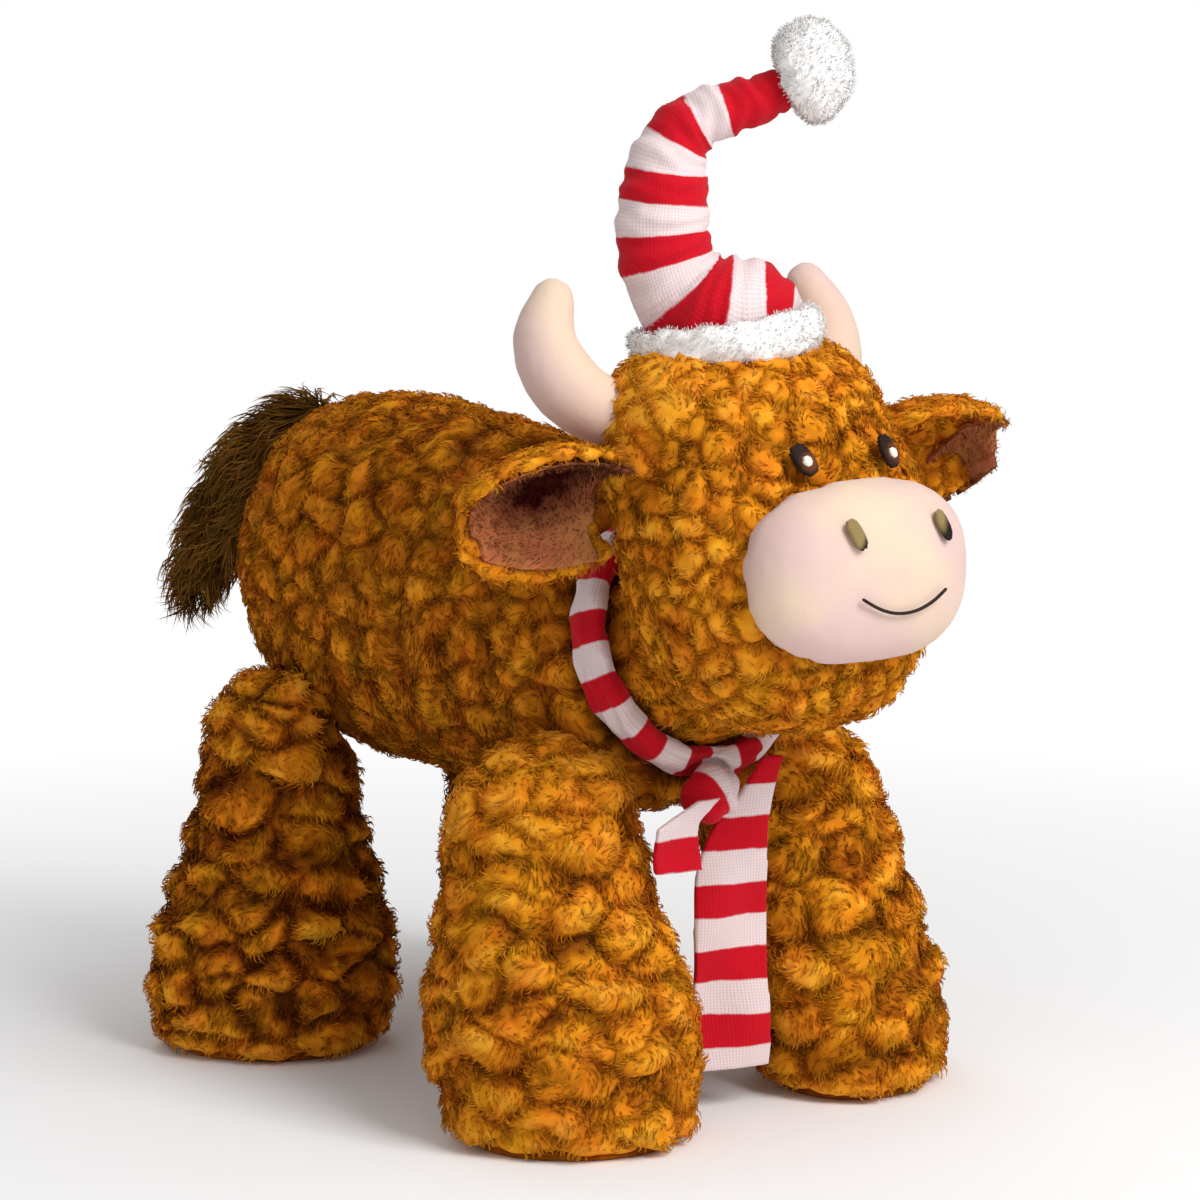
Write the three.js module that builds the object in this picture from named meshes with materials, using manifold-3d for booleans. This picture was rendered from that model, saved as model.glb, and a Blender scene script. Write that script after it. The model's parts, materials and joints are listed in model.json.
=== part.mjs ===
// A stuffed plush cow in curly pile, standing on four soft legs. It wears a striped stocking hat with
// a fleece brim and a pompom, and a striped scarf knotted under the chin.
// Millimetres. The cow faces -Y, its left side is +X, and it stands on z = 0.
import * as THREE from "three";
import { mergeVertices } from "three/addons/utils/BufferGeometryUtils.js";
import Module from "manifold-3d";

const wasm = await Module();
wasm.setup();

// Gaps between neighbours: pieces sewn together, and pieces that swing against each other
const SEAM_GAP = 0.4;
const SWING_GAP = 0.6;

// Trunk: one stuffed barrel from the rump to the chest
const BODY_LENGTH = 200;
const BODY_WIDTH = 106;
const BODY_HEIGHT = 122;
const BELLY_CLEARANCE = 82;
// Along from rump to chest, half width, top and bottom, as shares of the length, half width and height
const BODY_SECTION_SHARES = [
  [0.0, 0.0, 0.56, 0.56],
  [0.012, 0.34, 0.7, 0.42],
  [0.05, 0.64, 0.86, 0.24],
  [0.13, 0.87, 0.96, 0.08],
  [0.27, 0.98, 1.0, 0.01],
  [0.45, 1.0, 0.98, 0.0],
  [0.63, 0.98, 0.94, 0.0],
  [0.77, 0.92, 0.87, 0.0],
  [0.88, 0.82, 0.76, 0.01],
  [0.96, 0.62, 0.56, 0.05],
  [0.99, 0.34, 0.38, 0.12],
  [1.0, 0.0, 0.24, 0.24],
];

// Rolls of pile: how far apart they lie, how deep the dips between them are, how far each wanders as it goes
// round, as shares of the pitch, and how much of a dip fills up where it breaks off. The rear legs have the
// tighter rolls, and the body's are broken into lumps.
const BODY_ROLLS = { pitch: 20, depth: 3.6, wanderShares: [0.5, 0.24], brokenShare: 1, breaks: 4 };
const FRONT_LEG_ROLLS = { pitch: 19.5, depth: 4.4, wanderShares: [0.4, 0.12], brokenShare: 0.6, breaks: 2 };
const REAR_LEG_ROLLS = { pitch: 16, depth: 4.6, wanderShares: [0.3, 0.16], brokenShare: 0.7, breaks: 3 };
const RINGS_PER_ROLL = 4;
// How far up a foot its first roll has its full depth, as a share of the hip's height
const FOOT_PLAIN_SHARE = 0.12;

// Neck: a short stuffed stub that carries the head, and the crease the scarf lies in
const NECK_BACKSET = 9;
const NECK_RISE_SHARE = 0.46;
const NECK_RADIUS = 33;
const NECK_TILT_DEG = 20;
const NECK_CREASE = 11;

// Head: a stuffed ball, boxy, with the forehead lying back over the chin
const HEAD_AHEAD = 44.2;
const HEAD_OVER = 19;
const HEAD_WIDTH = 100;
const HEAD_DEPTH = 76;
const HEAD_TALL = 112;
const HEAD_BOXINESS = 2.4;
const HEAD_LEAN_SHARE = 0.18;

// Muzzle: a padded oval sunk in the front of the head
const MUZZLE_SINK = 8;
const MUZZLE_DROP = 5;
const MUZZLE_WIDTH = 77;
const MUZZLE_DEPTH = 46;
const MUZZLE_TALL = 54;
const MUZZLE_BOXINESS = 2.6;

// Embroidery on the face: eyes over the head's middle, nostrils and smile about the muzzle's middle
const EYE_SPACING = 32;
const EYE_RISE = 27;
const EYE_WIDTH = 8.4;
const EYE_TALL = 11.6;
const EYE_SLANT_DEG = 14;
const STITCH_DEPTH = 2.8;
const STITCH_PROUD = 0.7;
const STITCH_BOXINESS = 2.5;
const GLINT_SIZE = 3.4;
const NOSTRIL_SPACING = 33;
const NOSTRIL_RISE = 13.5;
const NOSTRIL_WIDTH = 6.6;
const NOSTRIL_TALL = 11.4;
const NOSTRIL_SLANT_DEG = 20;
const SMILE_DROP = 9.2;
const SMILE_WIDTH = 31;
const SMILE_RISE = 5;
const SMILE_THREAD = 1.6;

// Ears: cupped leaves, plush behind and lining in front
const EAR_LENGTH = 45;
const EAR_WIDTH = 48;
const EAR_PLUSH = 4;
const EAR_LINING = 1.6;
const EAR_CUP_DEG = 64;
// Half width along the ear from root to tip, as shares of half the ear's width
const EAR_WIDTH_SHARES = [0.74, 0.92, 1.0, 0.99, 0.9, 0.72, 0.42];
// How far forward the cup's rim stands of its root, as a share of the cup's radius
const EAR_SET_SHARE = 0.5;
// The right ear hangs back and level, and the left one is pricked up and forward
const EARS = {
  ear_right: { side: -1, rootShares: [0.94, 0.31, 0.2], sweepBackDeg: 20, liftDeg: -4, openDownDeg: 36 },
  ear_left: { side: 1, rootShares: [0.94, 0.3, 0.24], sweepBackDeg: -25, liftDeg: 12, openDownDeg: 44 },
};

// Horns: stuffed, curving out, back and up
const HORN_RADIUS = 10.6;
const HORN_REACH = 19;
const HORN_SWEEP = 20.5;
const HORN_RISE = 35;
const HORN_ROOT_SHARES = [0.7, 0.34, 0.61];
const HORN_PATH_SHARES = [
  [0, 0, 0],
  [0.74, 0.54, 0.26],
  [1, 0.88, 0.66],
  [0.74, 1, 1],
];
const HORN_TAPER_SHARES = [0.9, 0.95, 1.0, 1.02, 0.96, 0.84, 0.64];

// Legs: each swells from the hip to an oval foot with a sewn sole
const HIP_RADIUS = 28;
const HIP_INSET = 5;
const HIP_TUCK = 12;
const FRONT_HIP_BACK = 20;
const FRONT_HIP_RISE = 7;
const REAR_HIP_AHEAD = 51;
const REAR_HIP_RISE = 12;
const FOOT_SPLAY = 7.6;
const FRONT_FOOT_AHEAD = 23;
const REAR_FOOT_AHEAD = 6;
const FOOT_LONG = 83;
const FOOT_SHORT = 67;
const FOOT_TOE_IN_DEG = 38;
const SOLE_THICKNESS = 3;
const SOLE_SIZE_SHARE = 0.84;
// Height as a share of the hip's height, and girth as a share of the foot's size
const LEG_SWELL_SHARES = [
  [0.0, 0.86],
  [0.05, 0.95],
  [0.14, 1.0],
  [0.3, 1.0],
  [0.5, 0.95],
  [0.75, 0.87],
  [1.0, 0.8],
];

// Tail: a long-pile tuft hanging off the rump
const TAIL_RADIUS = 11;
const TAIL_LOCKS = 7;
const TAIL_LOCK_SHARE = 0.12;
const TAIL_SET_AHEAD = 17;
const TAIL_SUNK = 5;
const TAIL_DRIFT = 15;
const TAIL_REACH = 57;
const TAIL_HANG = 58;
const TAIL_PATH_SHARES = [
  [0, 0, 0],
  [0.13, 0.32, 0.1],
  [0.4, 0.6, 0.38],
  [0.8, 0.88, 0.78],
  [1, 1, 1],
];
const TAIL_GIRTH_SHARES = [0.6, 0.78, 0.94, 1.0, 1.0, 0.92, 0.72, 0.44];

// Hat: a knitted stocking heaped over the brim, standing up on one side and bending over to the pompom
const HAT_SEAT_SHARES = [-0.08, 0.15, 1.02];
const HAT_TURN_DEG = 40;
const HAT_TILT_DEG = 9;
const BRIM_OUTER = 29;
const BRIM_INNER = 17;
const BRIM_TALL = 15;
const BRIM_ROUNDNESS = 0.75;
const HEAP_WIDTH = 41;
const HEAP_TALL = 34;
const HEAP_RISE = 7;
const STOCKING_RADIUS = 14;
const STOCKING_LEAN = 18.4;
const STOCKING_TALL = 70;
// The stocking's middle line over the brim's middle, as shares of its lean and height
const STOCKING_PATH_SHARES = [
  [-0.6, 0.11],
  [-0.9, 0.29],
  [-1, 0.44],
  [-0.97, 0.57],
  [-0.91, 0.73],
  [-0.6, 0.87],
  [-0.08, 0.93],
  [0.46, 0.97],
  [0.71, 1],
];
const STOCKING_TAPER_SHARES = [0.95, 1.0, 1.0, 0.99, 0.96, 0.88, 0.75, 0.65, 0.6, 0.55, 0.49];
const POMPOM_WIDTH = 27;
const POMPOM_TALL = 32;
const POMPOM_SET_DEG = 31;
const POMPOM_SET_SHARE = 0.87;
const POMPOM_TUFT_SHARE = 0.04;

// Scarf: a knitted strip round the neck, knotted in front, with a long and a short end
const SCARF_BAND = 14;
const SCARF_BULK = 9;
const SCARF_FOLDS = 3;
const SCARF_FOLD_SHARE = 0.1;
const SCARF_BACKSET = 2;
const SCARF_THICKNESS = 2.4;
const SCARF_WAVE = 1.4;
// A hanging end's width at the knot as a share of its full width, and how far down it has opened
const SCARF_GATHER_SHARE = 0.5;
const SCARF_OPENED_SHARE = 1 / 3;
const SCARF_WAVE_TURNS = 1;
const KNOT_WIDTH = 18;
const KNOT_DEPTH = 14;
const KNOT_TALL = 17;
const KNOT_BOXINESS = 2.5;
// Places: the knot's under the loop, and each end's over the knot's middle
const KNOT_SIDE = -7;
const KNOT_AHEAD = 5.4;
const KNOT_DROP = 5.3;
const LONG_END = {
  side: 14.5, ahead: -1, rise: 1.5, width: 24, drop: 85.5, lean: -5.5, facingDeg: 18, steps: 16,
};
const SHORT_END = {
  side: -6, ahead: 7.6, rise: 1, width: 16, drop: 21, lean: -13.5, facingDeg: 3, steps: 6,
};

// How far each seam lets its piece swing, in degrees about its hinge
const HEAD_NOD_DEG = [-10, 7];
const LEG_SWING_DEG = [-10, 10];
const EAR_FLOP_DEG = [-18, 18];
const TAIL_WAG_DEG = [-25, 25];
const POMPOM_DANGLE_DEG = [-20, 20];
const LONG_END_SWING_DEG = [-35, 5];
const SHORT_END_SWING_DEG = [-25, 5];

const COLOURS = {
  pile: 0x9c5a12,
  shadePile: 0x6b3c0e,
  lining: 0x8a4a30,
  velour: 0xf0d8cc,
  thread: 0x3a1c0c,
  glint: 0xf4ece0,
  nostril: 0x86683c,
  knit: 0xd01522,
  fleece: 0xf2efec,
};

// How the domed ends of stuffed tubes and hips are stepped
const DOME_DEG = [26, 52, 76];

const X_AXIS = new THREE.Vector3(1, 0, 0);
const Y_AXIS = new THREE.Vector3(0, 1, 0);
const Z_AXIS = new THREE.Vector3(0, 0, 1);
const FORWARD = new THREE.Vector3(0, -1, 0);
const rad = THREE.MathUtils.degToRad;
const { lerp, smoothstep } = THREE.MathUtils;

// Closed skins and solids

// A closed skin over rings of points. An open end gets a fan to a hub or to the ring's own middle,
// or, on a sheet, a strip between its front and its back.
function skin(rings, { closesOnItself = false, hubs = [], isSheet = false } = {}) {
  const sides = rings[0].length;
  const positions = rings.flat().flatMap((p) => [p.x, p.y, p.z]);
  const faces = [];
  const bands = closesOnItself ? rings.length : rings.length - 1;
  for (let i = 0; i < bands; i++) {
    const here = i * sides;
    const next = ((i + 1) % rings.length) * sides;
    for (let j = 0; j < sides; j++) {
      const k = (j + 1) % sides;
      faces.push(here + j, here + k, next + k, here + j, next + k, next + j);
    }
  }
  if (!closesOnItself) {
    for (const [end, ring] of [rings[0], rings.at(-1)].entries()) {
      const start = end * (rings.length - 1) * sides;
      const face = (a, b, c) => faces.push(...(end === 1 ? [a, b, c] : [b, a, c]));
      if (isSheet) {
        for (let j = 0; j < sides / 2 - 1; j++) {
          const across = start + sides - 1 - j;
          face(start + j, start + j + 1, across - 1);
          face(start + j, across - 1, across);
        }
      } else {
        const middle = new THREE.Vector3();
        ring.forEach((p) => middle.addScaledVector(p, 1 / sides));
        const hub = positions.length / 3;
        positions.push(...(hubs[end] ?? middle).toArray());
        for (let j = 0; j < sides; j++) {
          face(start + j, start + ((j + 1) % sides), hub);
        }
      }
    }
  }
  const geometry = new THREE.BufferGeometry();
  geometry.setAttribute("position", new THREE.Float32BufferAttribute(positions, 3));
  geometry.setIndex(faces);
  return facingOut(geometry);
}

// The same geometry with its faces turned to point out.
function facingOut(geometry) {
  const p = geometry.attributes.position;
  const index = geometry.index.array;
  const [a, b, c] = [new THREE.Vector3(), new THREE.Vector3(), new THREE.Vector3()];
  let volume = 0;
  for (let i = 0; i < index.length; i += 3) {
    a.fromBufferAttribute(p, index[i]);
    b.fromBufferAttribute(p, index[i + 1]);
    c.fromBufferAttribute(p, index[i + 2]);
    volume += a.dot(b.cross(c));
  }
  if (volume < 0) {
    for (let i = 0; i < index.length; i += 3) {
      [index[i + 1], index[i + 2]] = [index[i + 2], index[i + 1]];
    }
  }
  return geometry;
}

function solid(geometry) {
  const plain = geometry.clone();
  plain.deleteAttribute("normal");
  plain.deleteAttribute("uv");
  const merged = mergeVertices(plain);
  return new wasm.Manifold(
    new wasm.Mesh({
      numProp: 3,
      vertProperties: merged.attributes.position.array,
      triVerts: new Uint32Array(merged.index.array),
    }),
  );
}

function geometryOf(manifold) {
  const mesh = manifold.getMesh();
  const geometry = new THREE.BufferGeometry();
  geometry.setAttribute("position", new THREE.Float32BufferAttribute(mesh.vertProperties, 3));
  geometry.setIndex(new THREE.Uint32BufferAttribute(mesh.triVerts, 1));
  geometry.computeVertexNormals();
  return geometry;
}

// Only the largest lump of a cut solid, without the crumbs.
function largest(manifold) {
  const lumps = manifold.decompose();
  return lumps.reduce((best, lump) => (lump.volume() > best.volume() ? lump : best));
}

// A manifold turned about an axis through a point.
function turned(manifold, pivot, axis, degrees) {
  const turn = new THREE.Matrix4()
    .makeTranslation(pivot.x, pivot.y, pivot.z)
    .multiply(new THREE.Matrix4().makeRotationAxis(axis, rad(degrees)))
    .multiply(new THREE.Matrix4().makeTranslation(-pivot.x, -pivot.y, -pivot.z));
  return manifold.transform(turn.elements);
}

// What is left of a moving piece once its neighbour is cut away at rest and at both its limits.
function clearOf(piece, neighbour, { pivot, axis, rangeDeg: [lowest, highest] }) {
  let left = piece;
  for (const angle of [lowest, 0, highest]) {
    left = left.subtract(turned(neighbour, pivot, axis, -angle));
  }
  return largest(left);
}

// What is left of a moving piece ahead of a face that crosses its hinge, at both its limits.
function aheadOf(piece, facing, offset, { pivot, axis, rangeDeg }) {
  return rangeDeg.reduce((left, angle) => {
    const normal = facing.clone().applyAxisAngle(axis, -rad(angle));
    return left.trimByPlane(normal.toArray(), normal.dot(pivot) + offset);
  }, piece);
}

// Soft forms

// The value at a share of the way between evenly spaced stations, on a smooth curve.
function between(values, share) {
  const stations = values.map((v, i) => new THREE.Vector3(i, v, 0));
  return new THREE.CatmullRomCurve3(stations, false, "catmullrom").getPoint(share).y;
}

// A column of a table of stations as a smooth function of its first column.
function along(rows, column) {
  const stations = rows.map((row) => new THREE.Vector3(row[0], row[column], 0));
  const points = new THREE.CatmullRomCurve3(stations, false, "catmullrom").getPoints(220);
  return (share) => {
    const after = Math.max(1, points.findIndex((p) => p.x >= share));
    const [a, b] = [points[after - 1], points[after]];
    return lerp(a.y, b.y, (share - a.x) / (b.x - a.x));
  };
}

// A stuffed ball: boxy over 2, and leaning back as it rises by a share of the height.
class Puff {
  constructor(middle, size, boxiness = 2, leanShare = 0) {
    this.middle = middle;
    this.half = size.clone().divideScalar(2);
    this.boxiness = boxiness;
    this.leanShare = leanShare;
  }

  grown(gap) {
    const size = this.half.clone().addScalar(gap).multiplyScalar(2);
    return new Puff(this.middle, size, this.boxiness, this.leanShare);
  }

  // A place over its middle, from shares of its half sizes.
  placeAt(shares) {
    const place = new THREE.Vector3(...shares).multiply(this.half);
    return place.setY(place.y + this.leanShare * place.z).add(this.middle);
  }

  // Where its skin is, in a direction given as on a ball of radius 1.
  skinPoint(direction) {
    const p = this.boxiness;
    const sum = direction.toArray().reduce((total, value) => total + Math.abs(value) ** p, 0);
    return this.placeAt(direction.clone().multiplyScalar(sum ** (-1 / p)));
  }

  geometry(sides, bands, tuft = () => 1) {
    const rings = [];
    for (let i = 1; i < bands; i++) {
      const polar = (Math.PI * i) / bands;
      const ring = [];
      for (let j = 0; j < sides; j++) {
        const direction = new THREE.Vector3().setFromSphericalCoords(1, polar, (2 * Math.PI * j) / sides);
        const point = this.skinPoint(direction.applyAxisAngle(X_AXIS, Math.PI / 2));
        ring.push(point.sub(this.middle).multiplyScalar(tuft(i, j)).add(this.middle));
      }
      rings.push(ring);
    }
    return skin(rings, { hubs: [Z_AXIS, Z_AXIS.clone().negate()].map((pole) => this.skinPoint(pole)) });
  }

  solid(sides = 24, bands = 16, tuft = () => 1) {
    return solid(this.geometry(sides, bands, tuft));
  }

  // Where its front is at a side and a rise over its middle, and which way it faces there.
  front(side, rise) {
    const { middle, half, boxiness: p } = this;
    const share = Math.abs(side / half.x) ** p + Math.abs(rise / half.z) ** p;
    const depth = half.y * (1 - share) ** (1 / p);
    const slope = (value, size) => (Math.sign(value) * Math.abs(value / size) ** (p - 1)) / size;
    const forward = slope(-depth, half.y);
    const up = slope(rise, half.z) - this.leanShare * forward;
    return {
      point: new THREE.Vector3(side, this.leanShare * rise - depth, rise).add(middle),
      normal: new THREE.Vector3(slope(side, half.x), forward, up).normalize(),
    };
  }
}

function ball(middle, radius) {
  return new Puff(middle, new THREE.Vector3().addScalar(2 * radius));
}

// Round sections along a curve, from a radius at each share of the way. Both ends are domed.
function stuffedTube(curve, radiusAt, steps, sides, lobe = () => 1) {
  const frames = curve.computeFrenetFrames(steps, false);
  const section = (middle, frame, radius, t) => {
    const ring = [];
    for (let j = 0; j < sides; j++) {
      const turn = (2 * Math.PI * j) / sides;
      const reach = radius * lobe(turn, t);
      ring.push(
        middle
          .clone()
          .addScaledVector(frames.normals[frame], Math.cos(turn) * reach)
          .addScaledVector(frames.binormals[frame], Math.sin(turn) * reach),
      );
    }
    return ring;
  };
  const dome = (end, outward) =>
    DOME_DEG.map(rad).map((polar) => {
      const frame = end * steps;
      const reach = outward * radiusAt(end) * Math.sin(polar);
      const middle = curve.getPointAt(end).addScaledVector(frames.tangents[frame], reach);
      return section(middle, frame, radiusAt(end) * Math.cos(polar), end);
    });
  const rings = [];
  for (let i = 0; i <= steps; i++) {
    const t = i / steps;
    rings.push(section(curve.getPointAt(t), i, radiusAt(t), t));
  }
  return skin([...dome(0, -1).reverse(), ...rings, ...dome(1, 1)]);
}

// A sheet with a thickness: a grid of points, the way each one faces, and how far front and back lie.
function thickSheet({ pointAt, facingAt }, steps, sides, front, back) {
  const rings = [];
  for (let i = 0; i <= steps; i++) {
    const side = (depth) => {
      const row = [];
      for (let j = 0; j <= sides; j++) {
        const [s, t] = [i / steps, j / sides];
        row.push(pointAt(s, t).addScaledVector(facingAt(s, t), depth));
      }
      return row;
    };
    rings.push([...side(front), ...side(back).reverse()]);
  }
  return skin(rings, { isSheet: true });
}

// How deep the dip between two rolls of pile is, at a distance along a piece and a turn round it.
function rollDip(distance, turn, { pitch, depth, wanderShares: [slow, quick], brokenShare, breaks }) {
  const wander = slow * Math.sin(2 * turn + 1) + quick * Math.sin(5 * turn);
  const roll = distance / pitch + wander;
  const filled = brokenShare * (0.5 + 0.5 * Math.sin(breaks * turn + 2.2 * Math.PI * roll));
  return depth * (1 - filled) * Math.cos(Math.PI * roll) ** 4;
}

// Trunk and neck

const rumpY = BODY_LENGTH / 2;
const chestY = -BODY_LENGTH / 2;
const neck = new THREE.Vector3(
  0,
  chestY + NECK_BACKSET,
  BELLY_CLEARANCE + NECK_RISE_SHARE * BODY_HEIGHT,
);
const neckForward = FORWARD.clone().applyAxisAngle(X_AXIS, -rad(NECK_TILT_DEG));
const neckUp = new THREE.Vector3().crossVectors(neckForward, X_AXIS);

// The body's half width, top and bottom, as shares, at a share of the way from rump to chest.
const [bodyWidthAt, bodyTopAt, bodyBottomAt] = [1, 2, 3].map((column) => along(BODY_SECTION_SHARES, column));

// The height of the back at a distance ahead of the rump.
function backHeight(ahead) {
  return BELLY_CLEARANCE + bodyTopAt(ahead / BODY_LENGTH) * BODY_HEIGHT;
}

// How far along the body its sections lie: close together at its round ends, and even between them.
function bodyStations() {
  const [plain, chest] = [BODY_SECTION_SHARES[3][0], BODY_SECTION_SHARES.at(-4)[0]];
  const even = Math.ceil(((chest - plain) * BODY_LENGTH * RINGS_PER_ROLL) / BODY_ROLLS.pitch);
  const stations = [];
  for (let i = 1; i < 6; i++) {
    stations.push(plain * (1 - Math.cos((Math.PI * i) / 12)));
  }
  for (let i = 0; i <= even; i++) {
    stations.push(lerp(plain, chest, i / even));
  }
  for (let i = 1; i < 6; i++) {
    stations.push(lerp(chest, 1, Math.sin((Math.PI * i) / 12)));
  }
  return stations;
}

function bodySolid(grow, rolls = { ...BODY_ROLLS, depth: 0 }) {
  const sides = 24;
  const rings = bodyStations().map((station) => {
    const half = (bodyWidthAt(station) * BODY_WIDTH) / 2 + grow;
    const top = BELLY_CLEARANCE + bodyTopAt(station) * BODY_HEIGHT + grow;
    const bottom = BELLY_CLEARANCE + bodyBottomAt(station) * BODY_HEIGHT - grow;
    const y = rumpY + grow - station * (BODY_LENGTH + 2 * grow);
    const ring = [];
    for (let j = 0; j < sides; j++) {
      const turn = (2 * Math.PI * j) / sides;
      const dip = bodyWidthAt(station) * rollDip(station * BODY_LENGTH, turn, rolls);
      const z = (top + bottom) / 2 + Math.sin(turn) * ((top - bottom) / 2 - dip);
      ring.push(new THREE.Vector3(Math.cos(turn) * (half - dip), y, z));
    }
    return ring;
  });
  const behind = neckForward.clone().negate();
  const crease = behind.dot(neck) + NECK_CREASE - grow;
  const shoulder = solid(skin(rings)).trimByPlane(behind.toArray(), crease);
  return shoulder.add(ball(neck, NECK_RADIUS + grow).solid());
}

// Legs

function legPlaces({ side, end }) {
  const front = end === "front";
  const hip = new THREE.Vector3(
    side * (BODY_WIDTH / 2 - HIP_INSET),
    front ? chestY + FRONT_HIP_BACK : rumpY - REAR_HIP_AHEAD,
    BELLY_CLEARANCE + (front ? FRONT_HIP_RISE : REAR_HIP_RISE),
  );
  const ahead = front ? FRONT_FOOT_AHEAD : REAR_FOOT_AHEAD;
  const foot = new THREE.Vector3(hip.x + side * FOOT_SPLAY, hip.y - ahead, 0);
  return { hip, foot, toeIn: side * rad(FOOT_TOE_IN_DEG) };
}

// An oval section turned in at the toe, at a height over the foot, with any dips round it.
function ovalRing(middle, long, short, toeIn, sides, dipAt = () => 0) {
  const ring = [];
  for (let j = 0; j < sides; j++) {
    const turn = (2 * Math.PI * j) / sides;
    const [x, y] = [Math.cos(turn) * (long / 2 - dipAt(turn)), Math.sin(turn) * (short / 2 - dipAt(turn))];
    ring.push(new THREE.Vector3(x, y, 0).applyAxisAngle(Z_AXIS, toeIn).add(middle));
  }
  return ring;
}

// A leg's girth as a share of the foot's size, at a share of the hip's height.
const swellAt = along(LEG_SWELL_SHARES, 1);

function legSolid(leg) {
  const { hip, foot, toeIn } = legPlaces(leg);
  const rolls = leg.end === "front" ? FRONT_LEG_ROLLS : REAR_LEG_ROLLS;
  const steps = Math.ceil((hip.z * RINGS_PER_ROLL) / rolls.pitch);
  const sides = 20;
  const rings = [];
  const bottom = SOLE_THICKNESS + SEAM_GAP;
  const full = LEG_SWELL_SHARES[3][0];
  for (let i = 0; i <= steps; i++) {
    const share = i / steps;
    const swell = swellAt(share);
    const middle = foot.clone().lerp(hip, share).setZ(bottom + share * (hip.z - bottom));
    const towardHip = smoothstep(share, full, 1);
    const long = lerp(swell * FOOT_LONG, 2 * HIP_RADIUS, towardHip);
    const short = lerp(swell * FOOT_SHORT, 2 * HIP_RADIUS, towardHip);
    const dipAt = (turn) =>
      smoothstep(share, 0, FOOT_PLAIN_SHARE) * rollDip(middle.z, leg.side * turn, rolls);
    rings.push(ovalRing(middle, long, short, toeIn, sides, dipAt));
  }
  for (const polar of DOME_DEG.map(rad)) {
    const tuck = leg.side * HIP_TUCK * (1 - Math.cos(polar));
    const middle = hip.clone().sub(new THREE.Vector3(tuck, 0, -HIP_RADIUS * Math.sin(polar)));
    const size = 2 * HIP_RADIUS * Math.cos(polar);
    const dipAt = (turn) => Math.cos(polar) ** 2 * rollDip(middle.z, leg.side * turn, rolls);
    rings.push(ovalRing(middle, size, size, toeIn, sides, dipAt));
  }
  return solid(skin(rings));
}

function soleGeometry(leg) {
  const { foot, toeIn } = legPlaces(leg);
  const edge = SOLE_THICKNESS / 3;
  const heights = [0, edge, SOLE_THICKNESS - edge, SOLE_THICKNESS];
  const insets = [2 * edge, 0, 0, 2 * edge];
  const rings = heights.map((height, i) => {
    const long = SOLE_SIZE_SHARE * FOOT_LONG - insets[i];
    const short = SOLE_SIZE_SHARE * FOOT_SHORT - insets[i];
    return ovalRing(foot.clone().setZ(height), long, short, toeIn, 20);
  });
  return skin(rings);
}

// Head and face

const headPuff = new Puff(
  neck.clone().addScaledVector(neckForward, HEAD_AHEAD).addScaledVector(neckUp, HEAD_OVER),
  new THREE.Vector3(HEAD_WIDTH, HEAD_DEPTH, HEAD_TALL),
  HEAD_BOXINESS,
  HEAD_LEAN_SHARE,
);
const muzzlePuff = new Puff(
  headPuff.front(0, -MUZZLE_DROP).point.addScaledVector(Y_AXIS, MUZZLE_SINK),
  new THREE.Vector3(MUZZLE_WIDTH, MUZZLE_DEPTH, MUZZLE_TALL),
  MUZZLE_BOXINESS,
);
const roomForHead = headPuff.grown(SEAM_GAP).solid();
const roomForMuzzle = muzzlePuff.grown(SEAM_GAP).solid();

// The head's ball, open behind where the neck goes in, and clear of the scarf as it nods.
function headSolid() {
  const scarfFront = (SCARF_BAND / 2) * (1 + SCARF_FOLD_SHARE) - SCARF_BACKSET + SWING_GAP;
  const open = headPuff.solid().subtract(ball(neck, NECK_RADIUS + SWING_GAP).solid());
  return largest(aheadOf(open, neckForward, scarfFront, HINGES.head_nod));
}

// A stitched oval lying on a soft surface, slanted, and cut to what it lies on.
function stitchedOval({ point, normal }, width, tall, slantDeg, rise, under) {
  const size = new THREE.Vector3(width, STITCH_DEPTH, tall);
  const geometry = new Puff(new THREE.Vector3(), size, STITCH_BOXINESS).geometry(14, 7);
  const turn = new THREE.Quaternion().setFromUnitVectors(FORWARD, normal);
  const place = point.clone().addScaledVector(normal, rise);
  geometry.rotateY(-rad(slantDeg)).applyQuaternion(turn).translate(place.x, place.y, place.z);
  return largest(solid(geometry).subtract(under));
}

function eyeSolid(side, grow) {
  const spot = headPuff.front((side * EYE_SPACING) / 2, EYE_RISE);
  const [width, tall] = [EYE_WIDTH + 2 * grow, EYE_TALL + 2 * grow];
  const rise = SEAM_GAP + STITCH_PROUD + grow;
  return stitchedOval(spot, width, tall, EYE_SLANT_DEG, rise, roomForHead);
}

function glintSolid(side) {
  const spot = headPuff.front((side * EYE_SPACING) / 2, EYE_RISE);
  const rise = SEAM_GAP + STITCH_PROUD + STITCH_DEPTH / 2;
  return stitchedOval(spot, GLINT_SIZE, GLINT_SIZE, 0, rise, eyeSolid(side, SEAM_GAP));
}

function nostrilSolid(side) {
  const spot = muzzlePuff.front((side * NOSTRIL_SPACING) / 2, NOSTRIL_RISE);
  const rise = SEAM_GAP + STITCH_PROUD;
  return stitchedOval(spot, NOSTRIL_WIDTH, NOSTRIL_TALL, NOSTRIL_SLANT_DEG, rise, roomForMuzzle);
}

function smileGeometry() {
  const points = [];
  const steps = 8;
  for (let i = 0; i <= steps; i++) {
    const share = (2 * i) / steps - 1;
    const rise = SMILE_RISE * share * share - SMILE_DROP;
    const spot = muzzlePuff.front((share * SMILE_WIDTH) / 2, rise);
    points.push(spot.point.addScaledVector(spot.normal, SMILE_THREAD / 2 + SEAM_GAP));
  }
  return stuffedTube(new THREE.CatmullRomCurve3(points), () => SMILE_THREAD / 2, 14, 6);
}

// Ears

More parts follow.
